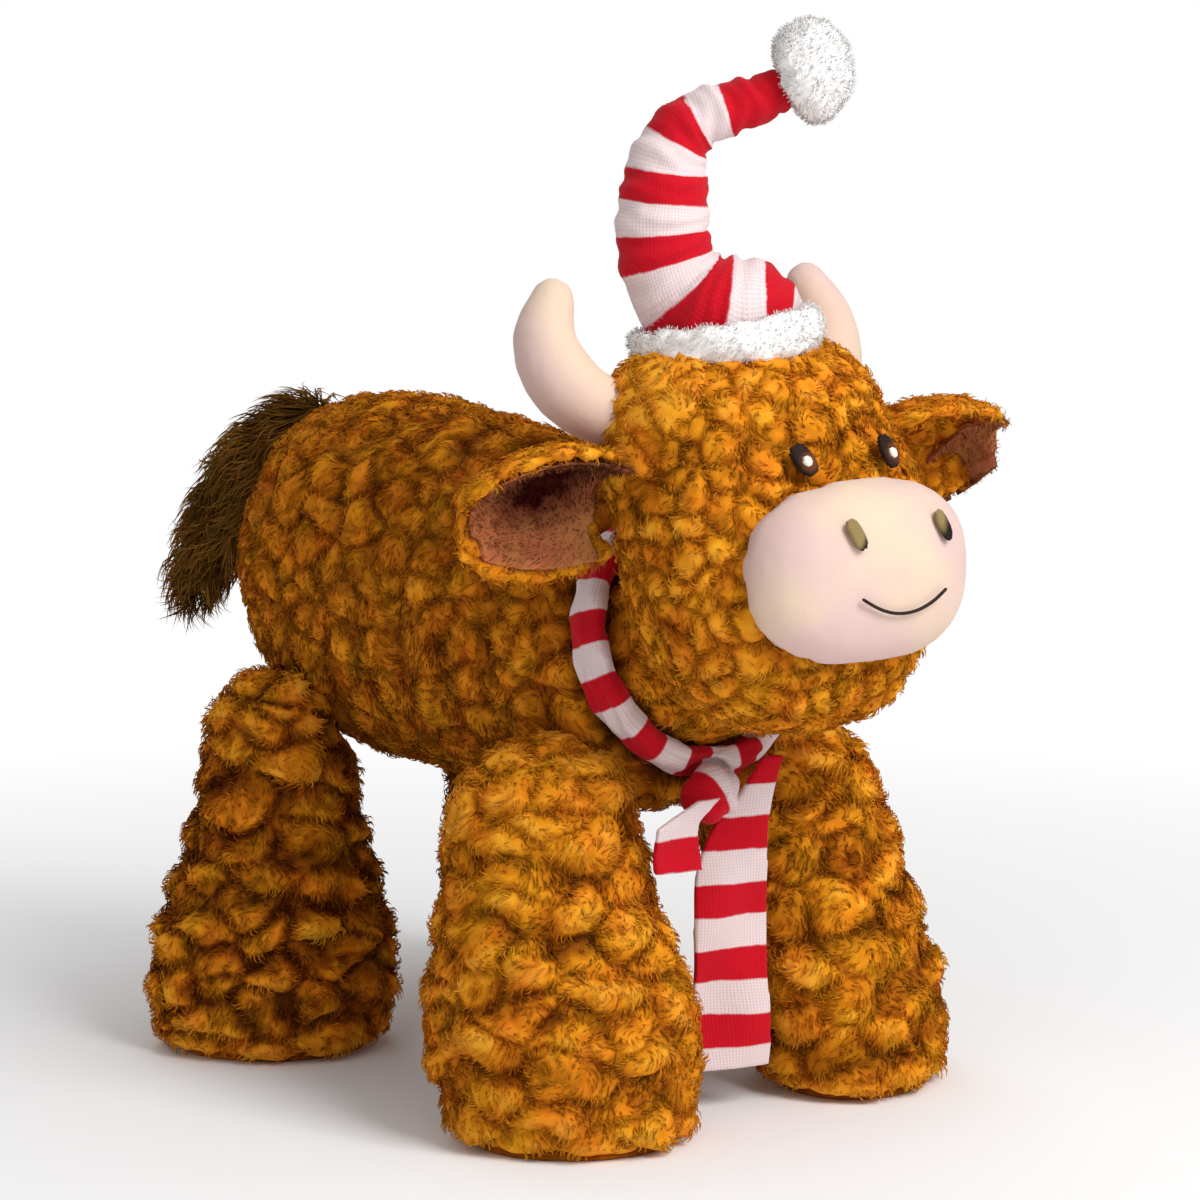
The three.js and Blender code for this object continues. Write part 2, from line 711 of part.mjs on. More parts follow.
// The ear's own directions: along it, the way its cup opens, and across it from lower to upper edge.
function earPlaces(name) {
  const { side, rootShares, sweepBackDeg, liftDeg, openDownDeg } = EARS[name];
  const root = headPuff.placeAt([side * rootShares[0], rootShares[1], rootShares[2]]);
  const level = Math.cos(rad(liftDeg));
  const along = new THREE.Vector3(
    side * level * Math.cos(rad(sweepBackDeg)),
    level * Math.sin(rad(sweepBackDeg)),
    Math.sin(rad(liftDeg)),
  );
  const opening = FORWARD.clone().applyAxisAngle(X_AXIS, rad(openDownDeg));
  opening.addScaledVector(along, -opening.dot(along)).normalize();
  const across = new THREE.Vector3().crossVectors(along, opening).multiplyScalar(-side);
  return { root, along, opening, across };
}

// The cup's middle surface: an arc across the ear that closes towards the tip.
function earSurface(name) {
  const { root, along, opening, across } = earPlaces(name);
  const cup = rad(EAR_CUP_DEG);
  return {
    facingAt: (s, t) =>
      across
        .clone()
        .multiplyScalar(-Math.sin(cup * (2 * t - 1)))
        .addScaledVector(opening, Math.cos(cup * (2 * t - 1))),
    pointAt: (s, t) => {
      const arc = cup * (2 * t - 1);
      const radius = (between(EAR_WIDTH_SHARES, s) * EAR_WIDTH) / 2 / Math.sin(cup);
      return root
        .clone()
        .addScaledVector(along, EAR_LENGTH * s)
        .addScaledVector(across, radius * Math.sin(arc))
        .addScaledVector(opening, radius * (EAR_SET_SHARE - Math.cos(arc)));
    },
  };
}

function earSolid(name, front, back) {
  const leaf = solid(thickSheet(earSurface(name), 7, 7, front, back));
  return clearOf(leaf, headPuff.grown(SWING_GAP).solid(), HINGES[name + "_flop"]);
}

// Horns

function hornSolid(side) {
  const root = headPuff.placeAt([side * HORN_ROOT_SHARES[0], HORN_ROOT_SHARES[1], HORN_ROOT_SHARES[2]]);
  const reach = new THREE.Vector3(side * HORN_REACH, HORN_SWEEP, HORN_RISE);
  const curve = new THREE.CatmullRomCurve3(
    HORN_PATH_SHARES.map((shares) => new THREE.Vector3(...shares).multiply(reach).add(root)),
  );
  const radiusAt = (t) => HORN_RADIUS * between(HORN_TAPER_SHARES, t);
  return largest(solid(stuffedTube(curve, radiusAt, 9, 14)).subtract(roomForHead));
}

// Tail

const tailRoot = new THREE.Vector3(0, rumpY - TAIL_SET_AHEAD, backHeight(TAIL_SET_AHEAD) - TAIL_SUNK);

function tailSolid() {
  const reach = new THREE.Vector3(-TAIL_DRIFT, TAIL_REACH, -TAIL_HANG);
  const curve = new THREE.CatmullRomCurve3(
    TAIL_PATH_SHARES.map((shares) => new THREE.Vector3(...shares).multiply(reach).add(tailRoot)),
  );
  const radiusAt = (t) => TAIL_RADIUS * between(TAIL_GIRTH_SHARES, t);
  const lobe = (turn, t) => 1 + TAIL_LOCK_SHARE * Math.sin(TAIL_LOCKS * (turn + t)) * t;
  const tuft = solid(stuffedTube(curve, radiusAt, 10, 21, lobe));
  return clearOf(tuft, bodySolid(SWING_GAP), HINGES.tail_wag);
}

// Hat

const hatAcross = X_AXIS.clone().applyAxisAngle(Z_AXIS, -rad(HAT_TURN_DEG));
const hatHinge = new THREE.Vector3().crossVectors(hatAcross, Z_AXIS);
const brimMiddle = headPuff.placeAt(HAT_SEAT_SHARES);
const overBrim = (lean, rise) =>
  brimMiddle.clone().addScaledVector(hatAcross, lean).addScaledVector(Z_AXIS, rise);
const stockingCurve = new THREE.CatmullRomCurve3(
  STOCKING_PATH_SHARES.map(([lean, rise]) => overBrim(lean * STOCKING_LEAN, rise * STOCKING_TALL)),
);
const stockingTip = stockingCurve.getPoint(1);

function stockingForm(grow) {
  const radiusAt = (t) => STOCKING_RADIUS * between(STOCKING_TAPER_SHARES, t) + grow;
  const tube = solid(stuffedTube(stockingCurve, radiusAt, 16, 16));
  const size = new THREE.Vector3(HEAP_WIDTH, HEAP_WIDTH, HEAP_TALL);
  const heap = new Puff(overBrim(0, HEAP_RISE), size, HEAD_BOXINESS).grown(grow).solid(20, 12);
  return tube.add(heap);
}

function brimSolid() {
  const profile = [];
  const steps = 10;
  const middle = (BRIM_OUTER + BRIM_INNER) / 2;
  const squarish = (value) => Math.sign(value) * Math.abs(value) ** BRIM_ROUNDNESS;
  for (let i = 0; i <= steps; i++) {
    const turn = (2 * Math.PI * (i % steps)) / steps;
    const out = (squarish(Math.cos(turn)) * (BRIM_OUTER - BRIM_INNER)) / 2;
    const up = (squarish(Math.sin(turn)) * BRIM_TALL) / 2;
    profile.push(new THREE.Vector2(middle + out, up));
  }
  const ring = new THREE.LatheGeometry(profile, 24).rotateX(Math.PI / 2);
  const tilt = new THREE.Quaternion().setFromAxisAngle(hatHinge, rad(HAT_TILT_DEG));
  ring.applyQuaternion(tilt).translate(brimMiddle.x, brimMiddle.y, brimMiddle.z);
  return largest(solid(ring).subtract(roomForHead).subtract(stockingForm(SEAM_GAP)));
}

// The pompom sits on the stocking's domed tip, in a round socket about the hinge.
function pompomSolid() {
  const tipRadius = STOCKING_RADIUS * STOCKING_TAPER_SHARES.at(-1);
  const set = hatAcross.clone().applyAxisAngle(hatHinge, rad(POMPOM_SET_DEG));
  const middle = stockingTip.clone().addScaledVector(set, (POMPOM_SET_SHARE * POMPOM_WIDTH) / 2);
  const size = new THREE.Vector3(POMPOM_WIDTH, POMPOM_WIDTH, POMPOM_TALL);
  const tuft = (i, j) => 1 + POMPOM_TUFT_SHARE * Math.sin(5 * i) * Math.cos(4 * j);
  const fluff = new Puff(middle, size).solid(18, 12, tuft);
  const socket = ball(stockingTip, tipRadius + SWING_GAP).solid();
  const tangent = stockingCurve.getTangent(1);
  return largest(aheadOf(fluff.subtract(socket), tangent, SWING_GAP, HINGES.pompom_dangle));
}

// Scarf

const scarfMiddle = neck.clone().addScaledVector(neckForward, -SCARF_BACKSET);
const scarfInner = NECK_RADIUS + 2 * SEAM_GAP;
const knotMiddle = scarfMiddle
  .clone()
  .addScaledVector(neckUp, -scarfInner - SCARF_BULK / 2)
  .add(new THREE.Vector3(KNOT_SIDE, -KNOT_AHEAD, -KNOT_DROP));
const endTop = ({ side, ahead, rise }) => new THREE.Vector3(side, -ahead, rise).add(knotMiddle);

// The loop round the neck, in long folds, lying in the crease behind the head.
function scarfLoopSolid(grow) {
  const rings = [];
  const steps = 32;
  const sides = 10;
  for (let i = 0; i < steps; i++) {
    const round = (2 * Math.PI * i) / steps;
    const outward = neckUp.clone().applyAxisAngle(neckForward, round);
    const ring = [];
    for (let j = 0; j < sides; j++) {
      const turn = (2 * Math.PI * j) / sides;
      const fold = 1 + SCARF_FOLD_SHARE * Math.cos(SCARF_FOLDS * turn + 2 * round);
      const out = SCARF_BULK / 2 + Math.cos(turn) * ((SCARF_BULK / 2) * fold + grow);
      const across = Math.sin(turn) * ((SCARF_BAND / 2) * fold + grow);
      ring.push(
        scarfMiddle
          .clone()
          .addScaledVector(outward, scarfInner + out)
          .addScaledVector(neckForward, across),
      );
    }
    rings.push(ring);
  }
  return solid(skin(rings, { closesOnItself: true }));
}

function knotSolid(grow) {
  const size = new THREE.Vector3(KNOT_WIDTH, KNOT_DEPTH, KNOT_TALL);
  const wrap = (i, j) => 1 + (SCARF_FOLD_SHARE / 2) * Math.cos(SCARF_FOLDS * (i / 3 + j / 4));
  return new Puff(knotMiddle, size, KNOT_BOXINESS).grown(grow).solid(16, 10, wrap);
}

// A hanging end: a strip with a few soft waves, gathered where it leaves the knot.
function scarfEndSolid(end, swing) {
  const across = X_AXIS.clone().applyAxisAngle(Z_AXIS, -rad(end.facingDeg));
  const facing = new THREE.Vector3().crossVectors(across, Z_AXIS);
  const pointAt = (s, t) => {
    const opened = Math.min(1, s / SCARF_OPENED_SHARE);
    const wave = SCARF_WAVE * Math.sin(2 * Math.PI * SCARF_WAVE_TURNS * s + 2 * t);
    const gather = lerp(SCARF_GATHER_SHARE, 1, opened);
    return endTop(end)
      .addScaledVector(across, end.width * gather * (t - 0.5))
      .addScaledVector(facing, wave * s)
      .add(new THREE.Vector3(end.lean * smoothstep(opened, 0, 1), 0, -end.drop * s));
  };
  const half = SCARF_THICKNESS / 2;
  const strip = thickSheet({ pointAt, facingAt: () => facing }, end.steps, 5, half, -half);
  return clearOf(solid(strip), knotSolid(SWING_GAP).add(scarfLoopSolid(SWING_GAP)), swing);
}

// Hinges

const LEGS = {
  leg_front_right: { side: -1, end: "front" },
  leg_front_left: { side: 1, end: "front" },
  leg_rear_right: { side: -1, end: "rear" },
  leg_rear_left: { side: 1, end: "rear" },
};
const HINGES = {
  head_nod: { pivot: neck, axis: X_AXIS, rangeDeg: HEAD_NOD_DEG },
  tail_wag: { pivot: tailRoot, axis: Y_AXIS, rangeDeg: TAIL_WAG_DEG },
  pompom_dangle: { pivot: stockingTip, axis: hatHinge, rangeDeg: POMPOM_DANGLE_DEG },
  scarf_long_swing: { pivot: endTop(LONG_END), axis: X_AXIS, rangeDeg: LONG_END_SWING_DEG },
  scarf_short_swing: { pivot: endTop(SHORT_END), axis: X_AXIS, rangeDeg: SHORT_END_SWING_DEG },
};
for (const [name, leg] of Object.entries(LEGS)) {
  HINGES[name + "_swing"] = { pivot: legPlaces(leg).hip, axis: X_AXIS, rangeDeg: LEG_SWING_DEG };
}
for (const name of Object.keys(EARS)) {
  const { root, across } = earPlaces(name);
  HINGES[name + "_flop"] = { pivot: root, axis: across, rangeDeg: EAR_FLOP_DEG };
}

// Assembly

const toy = new THREE.Group();
const finish = (colour, roughness) =>
  new THREE.MeshStandardMaterial({ color: colour, roughness, metalness: 0 });

function place(name, geometry, material) {
  const mesh = new THREE.Mesh(geometry, material);
  mesh.name = name;
  toy.add(mesh);
}

const pile = finish(COLOURS.pile, 0.95);
const velour = finish(COLOURS.velour, 0.85);
const knit = finish(COLOURS.knit, 0.9);
const fleece = finish(COLOURS.fleece, 0.95);
const thread = finish(COLOURS.thread, 0.6);
const lining = finish(COLOURS.lining, 0.9);
const roomForTrunk = bodySolid(SWING_GAP).add(scarfLoopSolid(SWING_GAP));

place("body", geometryOf(bodySolid(0, BODY_ROLLS)), pile);
place("head", geometryOf(headSolid()), pile);
place("muzzle", geometryOf(largest(muzzlePuff.solid().subtract(roomForHead))), velour);
place("smile_stitch", smileGeometry(), thread);
for (const [name, leg] of Object.entries(LEGS)) {
  const swing = HINGES[name + "_swing"];
  place(name, geometryOf(clearOf(legSolid(leg), roomForTrunk, swing)), pile);
  place(name.replace("leg", "sole"), soleGeometry(leg), pile);
}
for (const [hand, side] of [["right", -1], ["left", 1]]) {
  place("eye_" + hand, geometryOf(eyeSolid(side, 0)), thread);
  place("eye_glint_" + hand, geometryOf(glintSolid(side)), finish(COLOURS.glint, 0.5));
  place("nostril_" + hand, geometryOf(nostrilSolid(side)), finish(COLOURS.nostril, 0.7));
  place("horn_" + hand, geometryOf(hornSolid(side)), velour);
}
for (const name of Object.keys(EARS)) {
  place(name, geometryOf(earSolid(name, 0, -EAR_PLUSH)), pile);
  const inside = earSolid(name, EAR_LINING + SEAM_GAP, SEAM_GAP);
  place(name.replace("ear", "ear_lining"), geometryOf(inside), lining);
}
place("tail", geometryOf(tailSolid()), finish(COLOURS.shadePile, 0.9));
place("hat_stocking", geometryOf(largest(stockingForm(0).subtract(roomForHead))), knit);
place("hat_brim", geometryOf(brimSolid()), fleece);
place("hat_pompom", geometryOf(pompomSolid()), fleece);
const loop = scarfLoopSolid(0).subtract(bodySolid(SEAM_GAP)).subtract(knotSolid(SEAM_GAP));
place("scarf_loop", geometryOf(largest(loop)), knit);
place("scarf_knot", geometryOf(largest(knotSolid(0).subtract(bodySolid(SEAM_GAP)))), knit);
place("scarf_long_end", geometryOf(scarfEndSolid(LONG_END, HINGES.scarf_long_swing)), knit);
place("scarf_short_end", geometryOf(scarfEndSolid(SHORT_END, HINGES.scarf_short_swing)), knit);

// The toy stands on the middle of its footprint.
const box = new THREE.Box3().setFromObject(toy);
const middle = box.getCenter(new THREE.Vector3());
toy.position.set(-middle.x, -middle.y, -box.min.z);

export { HINGES };
export default toy;
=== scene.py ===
"""A stuffed plush cow in curly pile, with a striped stocking hat and a knotted striped scarf.

Metres. The cow faces -Y, its left side is +X, and it stands on z = 0. Each piece but the satin
stitch starts as the frame's solid. Body, head and legs are filled like cushions, and they and the ears get
clumps of pile with many small hairs on top.
"""

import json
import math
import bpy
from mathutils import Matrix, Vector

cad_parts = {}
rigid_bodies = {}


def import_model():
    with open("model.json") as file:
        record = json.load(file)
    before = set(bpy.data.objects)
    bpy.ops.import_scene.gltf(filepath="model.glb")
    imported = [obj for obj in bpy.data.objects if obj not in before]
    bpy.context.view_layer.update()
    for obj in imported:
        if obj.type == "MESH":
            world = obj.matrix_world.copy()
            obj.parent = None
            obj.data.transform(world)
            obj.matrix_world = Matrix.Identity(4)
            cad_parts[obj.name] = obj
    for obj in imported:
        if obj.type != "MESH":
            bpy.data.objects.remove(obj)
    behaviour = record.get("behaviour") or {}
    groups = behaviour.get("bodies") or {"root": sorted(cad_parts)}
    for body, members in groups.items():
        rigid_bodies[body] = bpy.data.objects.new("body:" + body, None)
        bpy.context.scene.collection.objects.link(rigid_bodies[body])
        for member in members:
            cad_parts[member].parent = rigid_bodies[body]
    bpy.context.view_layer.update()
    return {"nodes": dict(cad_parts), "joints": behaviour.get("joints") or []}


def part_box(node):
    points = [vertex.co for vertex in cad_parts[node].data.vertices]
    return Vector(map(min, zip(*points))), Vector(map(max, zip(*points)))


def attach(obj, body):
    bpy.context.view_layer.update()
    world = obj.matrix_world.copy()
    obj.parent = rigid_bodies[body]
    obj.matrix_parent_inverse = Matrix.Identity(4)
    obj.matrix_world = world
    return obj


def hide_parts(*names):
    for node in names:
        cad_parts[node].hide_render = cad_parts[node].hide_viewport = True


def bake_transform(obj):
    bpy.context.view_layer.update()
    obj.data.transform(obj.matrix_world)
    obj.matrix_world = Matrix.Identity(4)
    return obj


bl_info = {
    "name": "Curly Plush Cow",
    "version": (1, 0, 0),
    "blender": (4, 5, 0),
    "location": "3D View > Sidebar > Plush Cow",
    "description": "Sews a curly plush cow with a striped hat and scarf round its packed frame",
    "category": "Add Mesh",
}

from dataclasses import dataclass

import bpy
import numpy as np
from bpy.props import FloatProperty, FloatVectorProperty, IntProperty, PointerProperty
from mathutils import Vector
from mathutils.bvhtree import BVHTree
from mathutils.kdtree import KDTree

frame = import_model()
joints = {joint["name"]: joint for joint in frame["joints"]}

MM = 0.001
UP = np.array([0.0, 0.0, 1.0])
MERGE = 0.02 * MM
LEGS = ("leg_front_right", "leg_front_left", "leg_rear_right", "leg_rear_left")
HANDS = ("right", "left")


# Sizes and colours that a user would change


def length(name, default, description):
    return FloatProperty(name=name, default=default, description=description, unit="LENGTH", precision=5)


def colour(name, default, description):
    return FloatVectorProperty(
        name=name, default=default, description=description, subtype="COLOR", size=3, min=0, max=1
    )


class PilePlan(bpy.types.PropertyGroup):
    """The shaggy pile and the cloth under it"""

    cloth_depth: length("Cloth depth", 3.0 * MM, "How far the cloth lies under the pile's outer surface")
    voxel: length("Voxel", 2.6 * MM, "Grain of the remeshed cloth before it is filled")
    pressure: FloatProperty(name="Pressure", default=3.0, description="Pressure of the filling")
    swell: length("Swell", 1.2 * MM, "How far the filling may push the cloth out")
    clump: length("Clump", 10.5 * MM, "Distance between neighbouring clumps of pile")
    clump_rise: length("Clump rise", 3.4 * MM, "How far a clump's middle stands over the creases round it")
    clump_drift: length("Clump drift", 4.5 * MM, "How far the creases between the clumps wander")
    droop: length("Droop", 1.6 * MM, "How far a clump's middle hangs over the crease below it")
    tuft: length("Tuft", 0.7 * MM, "Height of the small tufts on a clump")
    hair: length("Hair", 3.6 * MM, "Length of one lock of hair")
    hair_radius: length("Hair radius", 0.215 * MM, "Radius of one lock of hair")
    hair_rise: length("Hair rise", 1.6 * MM, "How far a lock stands off the cloth")
    hair_patch: length("Hair patch", 1.48 * MM, "Side of the square of cloth that one lock grows from")
    # Hollow depth sets how fast painted shade darkens the pile in its creases and hollows
    hollow_depth: length("Hollow depth", 2.4 * MM, "How deep a hollow is where the pile is darkest")
    # The pile's colours run from painted shade down in the creases and at the roots to painted light on the
    # crests and tips
    root: colour("Root", (0.095, 0.020, 0.002), "Pile down in the creases")
    shade: colour("Shade", (0.350, 0.100, 0.004), "Pile half way up")
    crest: colour("Crest", (0.740, 0.255, 0.010), "Pile on top of the clumps")
    tip: colour("Tip", (0.880, 0.390, 0.035), "The lightest tips")


class FacePlan(bpy.types.PropertyGroup):
    """Velour, embroidery, ears and tail"""

    thread: length("Thread", 0.55 * MM, "Distance between neighbouring embroidery threads")
    velour: colour("Velour", (0.760, 0.580, 0.440), "Muzzle and horns")
    blush: colour("Blush", (0.700, 0.500, 0.460), "The velour's pinker patches")
    dark_thread: colour("Dark thread", (0.010, 0.004, 0.003), "Eyes and smile")
    brown_thread: colour("Brown thread", (0.160, 0.045, 0.012), "Middle of the eyes, rim of the nostrils")
    glint: colour("Glint", (0.900, 0.820, 0.700), "Glint in the eyes")
    olive_thread: colour("Olive thread", (0.270, 0.185, 0.065), "Nostrils")
    lining: colour("Lining", (0.520, 0.175, 0.065), "Inside of the ears")
    # Hollow is painted shade, for the deepest part of the ear's cup
    hollow: colour("Hollow", (0.045, 0.004, 0.003), "The deepest part of the ears")
    # Tail root is painted shade among the strands, and tail tip is the lit strands
    tail_root: colour("Tail root", (0.060, 0.022, 0.003), "The tail's pile at its root")
    tail_tip: colour("Tail tip", (0.420, 0.190, 0.030), "The tail's pile at its tips")


class KnitPlan(bpy.types.PropertyGroup):
    """Striped jersey, fleece and pompom"""

    stripe: length("Stripe", 9.8 * MM, "Height of one stripe")
    stitch: length("Stitch", 0.9 * MM, "Width of one stitch")
    hat_stripe: length("Hat stripe", 8.62 * MM, "Height of one stripe on the hat")
    red: colour("Red", (0.660, 0.005, 0.018), "The red stripes")
    white: colour("White", (0.920, 0.760, 0.765), "The white stripes")
    fleece: colour("Fleece", (0.960, 0.945, 0.930), "The hat's brim and pompom")
    fleece_shade: colour("Fleece shade", (0.920, 0.900, 0.890), "Down between the fleece's hairs")


class StagePlan(bpy.types.PropertyGroup):
    """Camera, floor and lamps"""

    azimuth: FloatProperty(name="Azimuth", default=-40.24, description="Camera's way round, in degrees")
    elevation: FloatProperty(name="Elevation", default=8.47, description="Camera's height, in degrees")
    distance: length("Distance", 1300 * MM, "From the camera to the middle of its view")
    view_width: length("View width", 360 * MM, "Width of the view at that distance")
    view_middle: FloatVectorProperty(
        name="View middle",
        default=(0, -31.3 * MM, 145.5 * MM),
        description="Middle of the view, at the toy",
        subtype="TRANSLATION",
    )
    seed: IntProperty(name="Seed", default=11, description="Start of the scattered places")


# Hands: selecting, reading and moving meshes


def seed_for(number):
    """Start of the random draws of the piece with this number."""
    return bpy.context.scene.plush_stage.seed + number


def only(*chosen):
    """Selects these objects and nothing else, with the first one active."""
    for obj in bpy.context.scene.objects:
        obj.select_set(False)
    for obj in chosen:
        obj.select_set(True)
    bpy.context.view_layer.objects.active = chosen[0]


def points(piece):
    co = np.empty(3 * len(piece.data.vertices))
    piece.data.vertices.foreach_get("co", co)
    return co.reshape(-1, 3)


def outward(piece):
    normals = np.empty(3 * len(piece.data.vertices))
    piece.data.vertex_normals.foreach_get("vector", normals)
    return normals.reshape(-1, 3)


def move(piece, co):
    piece.data.vertices.foreach_set("co", np.asarray(co, float).ravel())
    piece.data.update()


def push(piece, height):
    """Moves every vertex outward, by one height or by its own."""
    move(piece, points(piece) + outward(piece) * np.reshape(height, (-1, 1)))


def unit(vectors):
    return vectors / np.maximum(np.linalg.norm(vectors, axis=-1, keepdims=True), 1e-12)


def apply(piece, kind, **settings):
    """Adds a modifier with these settings and applies it."""
    modifier = piece.modifiers.new(kind.title(), kind)
    for name, value in settings.items():
        setattr(modifier, name, value)
    only(piece)
    bpy.ops.object.modifier_apply(modifier=modifier.name)


def mesh_piece(name, verts, faces):
    mesh = bpy.data.meshes.new(name)
    mesh.from_pydata(verts, [], faces.tolist())
    piece = bpy.data.objects.new(name, mesh)
    bpy.context.scene.collection.objects.link(piece)
    return piece


def from_node(node, name):
    """A new piece that starts as a copy of a frame node, with its loose triangles merged."""
    piece = frame["nodes"][node].copy()
    piece.data = piece.data.copy()
    piece.name = piece.data.name = name
    piece.parent = None
    for key in list(piece.keys()):
        del piece[key]
    piece.data.materials.clear()
    bpy.context.scene.collection.objects.link(piece)
    only(piece)
    bpy.ops.object.mode_set(mode="EDIT")
    bpy.ops.mesh.select_all(action="SELECT")
    bpy.ops.mesh.remove_doubles(threshold=MERGE)
    bpy.ops.object.mode_set(mode="OBJECT")
    return piece


def paint(piece, name, values):
    """Writes a number, or three, for each vertex."""
    kind = "FLOAT" if np.ndim(values) == 1 else "FLOAT_VECTOR"
    attribute = piece.data.attributes.get(name) or piece.data.attributes.new(name, kind, "POINT")
    field = "value" if kind == "FLOAT" else "vector"
    attribute.data.foreach_set(field, np.asarray(values, np.float32).ravel())


def shade_cloth(piece, shade, grain):
    """Writes the cloth's shade, one for all or one for each vertex, and the places of its fibres."""
    paint(piece, "shade", np.broadcast_to(shade, len(piece.data.vertices)))
    paint(piece, "fibre", points(piece) * grain)


def lay_cloth(piece, across, along):
    """Writes where each vertex lies on the knit's flat cloth."""
    paint(piece, "cloth", np.stack([across, along, np.zeros(len(along))], axis=1))


def smooth(piece):
    piece.data.polygons.foreach_set("use_smooth", np.ones(len(piece.data.polygons), bool))
    piece.data.update()


def surface(mesh):
    return BVHTree.FromPolygons([v.co for v in mesh.vertices], [p.vertices for p in mesh.polygons])


def tree_of(node):
    return surface(frame["nodes"][node].data)


def box_of(node):
    """The lowest and the highest corner of a frame node's box."""
    return [np.array(corner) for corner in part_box(node)]


def buried(places, nodes, depth=0.0):
    """Which places lie in any of these frame nodes, at least this deep."""
    inside = np.zeros(len(places), bool)
    for node in nodes:
        low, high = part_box(node)
        near = np.all((places > low) & (places < high), axis=1) & ~inside
        tree = tree_of(node)
        for i in np.flatnonzero(near):
            spot = Vector(places[i])
            place, normal, _, gap = tree.find_nearest(spot)
            inside[i] = gap > depth and (spot - place).dot(normal) < 0
    return inside


def finish_piece(piece, body, nodes, slot, look=None):
    """Gives a piece its material and body, and hides the frame nodes that it stands for.

    Its look has the slot's name if none is given.
    """
    piece.data.materials.clear()
    piece.data.materials.append(shared_look(look or slot))
    smooth(piece)
    if body is not None:
        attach(piece, body)
    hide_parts(*nodes)


# Stuffing: remeshed cloth, filled under pressure, with its edges tucked into its neighbours

FILL_FRAMES = 20


def stuffed(piece, voxel, inset, pressure=0, swell=0):
    """Turns a solid into cloth that lies inside it by an inset, and fills it if there is a pressure."""
    apply(piece, "REMESH", mode="VOXEL", voxel_size=voxel)
    apply(piece, "SMOOTH", factor=0.5, iterations=3)
    push(piece, -inset)
    if pressure > 0:
        start = points(piece)
        cloth = piece.modifiers.new("Filling", "CLOTH")
        cloth.settings.use_pressure = True
        cloth.settings.uniform_pressure_force = pressure
        cloth.settings.effector_weights.gravity = 0
        cloth.point_cache.frame_end = FILL_FRAMES
        for step in range(1, FILL_FRAMES + 1):
            bpy.context.scene.frame_set(step)
        only(piece)
        bpy.ops.object.modifier_apply(modifier=cloth.name)
        shift = points(piece) - start
        far = np.linalg.norm(shift, axis=1, keepdims=True)
        move(piece, start + shift * np.minimum(1, swell / np.maximum(far, 1e-9)))
    apply(piece, "SUBSURF", levels=1, render_levels=1)


def cushion(node):
    """The cloth of a frame node that gets pile, filled under pressure."""
    plan = bpy.context.scene.plush_pile
    piece = from_node(node, node + "_pile")
    stuffed(piece, plan.voxel, plan.cloth_depth, plan.pressure, plan.swell)
    return piece


def tuck(piece, nodes, reach, depth):
    """Pushes the edge of a piece that lies near its neighbours into them, as a seam allowance."""
    co = points(piece)
    for node in nodes:
        tree = tree_of(node)
        for i, spot in enumerate(co):
            _, normal, _, gap = tree.find_nearest(Vector(spot), reach)
            if normal is not None:
                co[i] = spot - np.array(normal) * depth * (1 - (gap / reach) ** 2)
    move(piece, co)


def heap(piece, nodes, reach, height):
    """Raises a piece round its neighbours, as pile that is pushed up round what is sewn into it."""
    co, normals = points(piece), outward(piece)
    for node in nodes:
        tree = tree_of(node)
        for i, spot in enumerate(co):
            gap = tree.find_nearest(Vector(spot), reach)[3]
            if gap is not None:
                co[i] = spot + normals[i] * height * (1 - (gap / reach) ** 2)
    move(piece, co)


# Pile: clumps with wandering creases, and locks of hair that are combed over them


def drift(places, size, seed):
    """Smooth random vectors, up to 1 long each way, that change over this distance."""
    cells = 16
    lattice = np.random.default_rng(seed).uniform(-1, 1, (cells, cells, cells, 3))
    scaled = places / size
    low = np.floor(scaled).astype(int)
    part = scaled - low
    part = part * part * (3 - 2 * part)
    found = np.zeros_like(places)
    for corner in np.ndindex(2, 2, 2):
        weight = np.prod(np.where(corner, part, 1 - part), axis=1, keepdims=True)
        found += weight * lattice[tuple(((low + corner) % cells).T)]
    return found


class Clumps:
    """Scattered middles of clumps, and for any place the clump it's in and how far it is from a crease."""

    CREASE_SHARE = 0.6
    MIXED_SHARES = (0.6, 1.35)
    HEIGHT_SHARES = (0.5, 1.1)
    DRIFT_SIZE = 11 * MM

    def __init__(self, places, spacing, wander, stretch, seed):
        self.spacing = spacing
        self.wander = wander
        self.stretch = np.array(stretch)
        self.seed = seed
        rng = np.random.default_rng(seed)
        scaled = self.warped(places)
        free = rng.permutation(len(places))
        picked = []
        while len(free):
            picked.append(free[0])
            away = ((scaled[free] - scaled[free[0]]) ** 2).sum(axis=1)
            free = free[away > (spacing * rng.uniform(*self.MIXED_SHARES)) ** 2]
        self.middles = places[picked]
        self.heights = rng.uniform(*self.HEIGHT_SHARES, len(picked))
        self.spins = rng.choice([-1.0, 1.0], len(picked))
        self.tree = KDTree(len(picked))
        for i, middle in enumerate(scaled[picked]):
            self.tree.insert(middle, i)
        self.tree.balance()

    def warped(self, places):
        return (places + self.wander * drift(places, self.DRIFT_SIZE, self.seed)) * self.stretch

    def look(self, places):
        found = [self.tree.find_n(spot, 2) for spot in self.warped(places)]
        nearest = np.array([pair[0][1] for pair in found])
        margin = np.array([pair[1][2] - pair[0][2] for pair in found])
        return nearest, np.clip(margin / (self.CREASE_SHARE * self.spacing), 0, 1)


